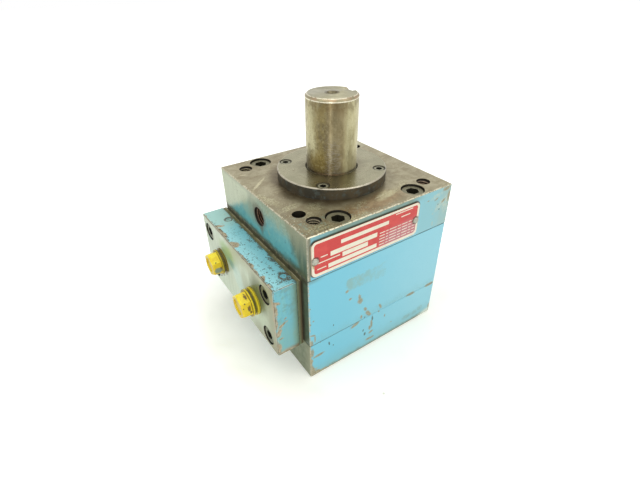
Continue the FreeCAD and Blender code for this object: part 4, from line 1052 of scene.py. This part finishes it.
def build_print(material):
    """The plate's cream border, its blank fields and rows of thin dashes."""
    verts, faces = [], []
    front = PLATE_LOW.y - PRINT_PROUD
    back = PLATE_LOW.y + PRINT_SUNK
    raised_ring(verts, faces, inset(*BORDER_OUTER), inset(*BORDER_INNER), back, front)
    for edges in PLATE_FIELDS + dashed_rows():
        raised_patch(verts, faces, rounded(*edges, FIELD_CORNER, 2), back, front)
    piece("nameplate_print", verts, faces, material)


def use(material, *names):
    for name in names:
        mesh = nodes[name].data
        mesh.materials.clear()
        mesh.materials.append(material)


def dress():
    """Give every CAD node its finish. Most finishes bear their node's name."""
    for material in (
        front_head_finish(), stator_housing_finish(), rear_head_finish(), manifold_finish(),
        seal_plate_finish(), shaft_finish(), ring_finish(),
        screw_finish("tie_screws", "#8e8a6e", "#323024", "up"),
        screw_finish("retainer_screws", "#a8a68c", "#2c2a22", "up", 3.1),
        screw_finish("manifold_screws", "#7c826c", "#2c3026", "left"),
        passage_plug_finish(),
        plug_finish("upper_port_plug", 0.8, 11, UPPER_PATCHES, 3.6, 0.85),
        plug_finish("lower_port_plug", 2, 17, LOWER_PATCHES, 0.6, 0),
        plate_finish(),
    ):
        use(material, material.name.removesuffix("_finish"))
    use(speckled("drive_screw", "#96988c", "#b6b4a6", 2, 0.6, 0.4, 0.05), "nameplate_screws")
    use(speckled("inner_steel", "#96948a", "#807c6e", 6, 0.8, 0.4, 0.03, 1),
        "stator_shoe", "shoe_screws", "front_dowels", "rear_dowels")
    use(speckled("bronze", "#be9654", "#a67e40", 5, 0.8, 0.4, 0.03, 2),
        "front_bearing", "rear_bearing", "front_thrust_washer", "rear_thrust_washer")
    use(speckled("seal_rubber", "#2e2e2e", "#242422", 4, 0, 0.7, 0.04, 3),
        "shoe_seal", "vane_seal", "shaft_seal", "front_body_o_ring", "rear_body_o_ring", "manifold_o_rings")
    build_threads()
    build_print(print_finish())


# The studio, in metres. Lamps are given by name, place, width, height and watts.
FLOOR_REACH, FLOOR_DROP = 4, 0.0003
WORLD_LIGHT = ((1, 1, 0.97, 1), 0.62)
WORLD_SHOWN = ((1, 1, 1, 1), 1)
LAMPS = [
    ("key", (0.25, -0.75, 0.85), 0.6, 0.6, 2.4),
    ("over", (-0.1, 0.1, 1.1), 0.8, 0.8, 3.2),
    ("near_camera", (-0.41, -0.466, 0.3), 0.06, 0.3, 0.68),
]
LIT_PLACE = (0, 0, 0.08)
# Lens in millimetres, nearest distance shown and place in metres, and turn in degrees.
LENS, CLIP_START = 22.674, 0.01
CAMERA_PLACE = (-0.15525, -0.21404, 0.23913)
CAMERA_TURN = (56.1226, 0.4647, -34.4133)


def shown_white(shading):
    """1 for what the camera, reflections and clear pieces see directly."""
    path = shading.add("LightPath")
    rays = [path.outputs[f"Is {ray} Ray"] for ray in ("Camera", "Glossy", "Transmission")]
    return union([Field(shading, socket) for socket in rays])


def build_floor():
    """A pale floor that keeps the object's shadow and runs out to white away from it."""
    mesh = bpy.data.meshes.new("floor")
    mesh.from_pydata([(x * FLOOR_REACH, y * FLOOR_REACH, 0) for x, y in CORNERS], [], [(0, 1, 2, 3)])
    floor = placed("floor", mesh)
    floor.location.z = -FLOOR_DROP
    s = Surface("floor")
    smudge = s.noise(40, 5, 0.68, warp=0.6, seed=3)
    flecks = s.cells(26, 5).rise(0.05, 0.025)
    near = s.away(s.x, s.y).rise(150, 96)
    colour = s.layers(
        # Slightly yellower near the object: a painted tint of the light thrown off it.
        s.blend(near, "#eeefea", "#eff0e5"),
        (smudge.rise(0.5, 0.7) * near * 0.4, "#d6d8c8"),
        (flecks * near * 0.6, "#96947c"),
    )
    mesh.materials.append(s.finish(colour, 0.7, smudge, 0.02))
    glow = s.add("Emission")
    s.feed(glow, Strength=s.level(near, 0.55, 0.26) * shown_white(s))
    both = s.add("AddShader")
    s.feed(both, s.shader.outputs[0], glow.outputs[0])
    s.feed(s.output, Surface=both.outputs[0])


def build_world():
    world = bpy.data.worlds.new("studio")
    bpy.context.scene.world = world
    sky = Shading(world)
    mix = sky.add("MixShader")
    sky.feed(mix, shown_white(sky))
    for socket, (colour, strength) in zip(mix.inputs[1:], (WORLD_LIGHT, WORLD_SHOWN)):
        background = sky.add("Background")
        sky.feed(background, Color=colour, Strength=strength)
        sky.put(socket, background.outputs[0])
    sky.feed(sky.add("OutputWorld"), Surface=mix.outputs[0])


def area_light(name, place, width, height, power):
    """A soft lamp that faces the middle of the object."""
    data = bpy.data.lights.new(name, "AREA")
    data.shape = "RECTANGLE"
    data.size = width
    data.size_y = height
    data.energy = power
    light = placed(name, data)
    light.location = place
    light.rotation_euler = (Vector(LIT_PLACE) - Vector(place)).to_track_quat("-Z", "Y").to_euler()


def build_camera():
    data = bpy.data.cameras.new("camera")
    data.lens = LENS
    data.clip_start = CLIP_START
    camera = placed("camera", data)
    camera.location = CAMERA_PLACE
    camera.rotation_euler = [math.radians(angle) for angle in CAMERA_TURN]
    bpy.context.scene.camera = camera


bpy.context.scene.view_settings.view_transform = "Standard"
dress()
build_floor()
build_world()
for lamp in LAMPS:
    area_light(*lamp)
build_camera()
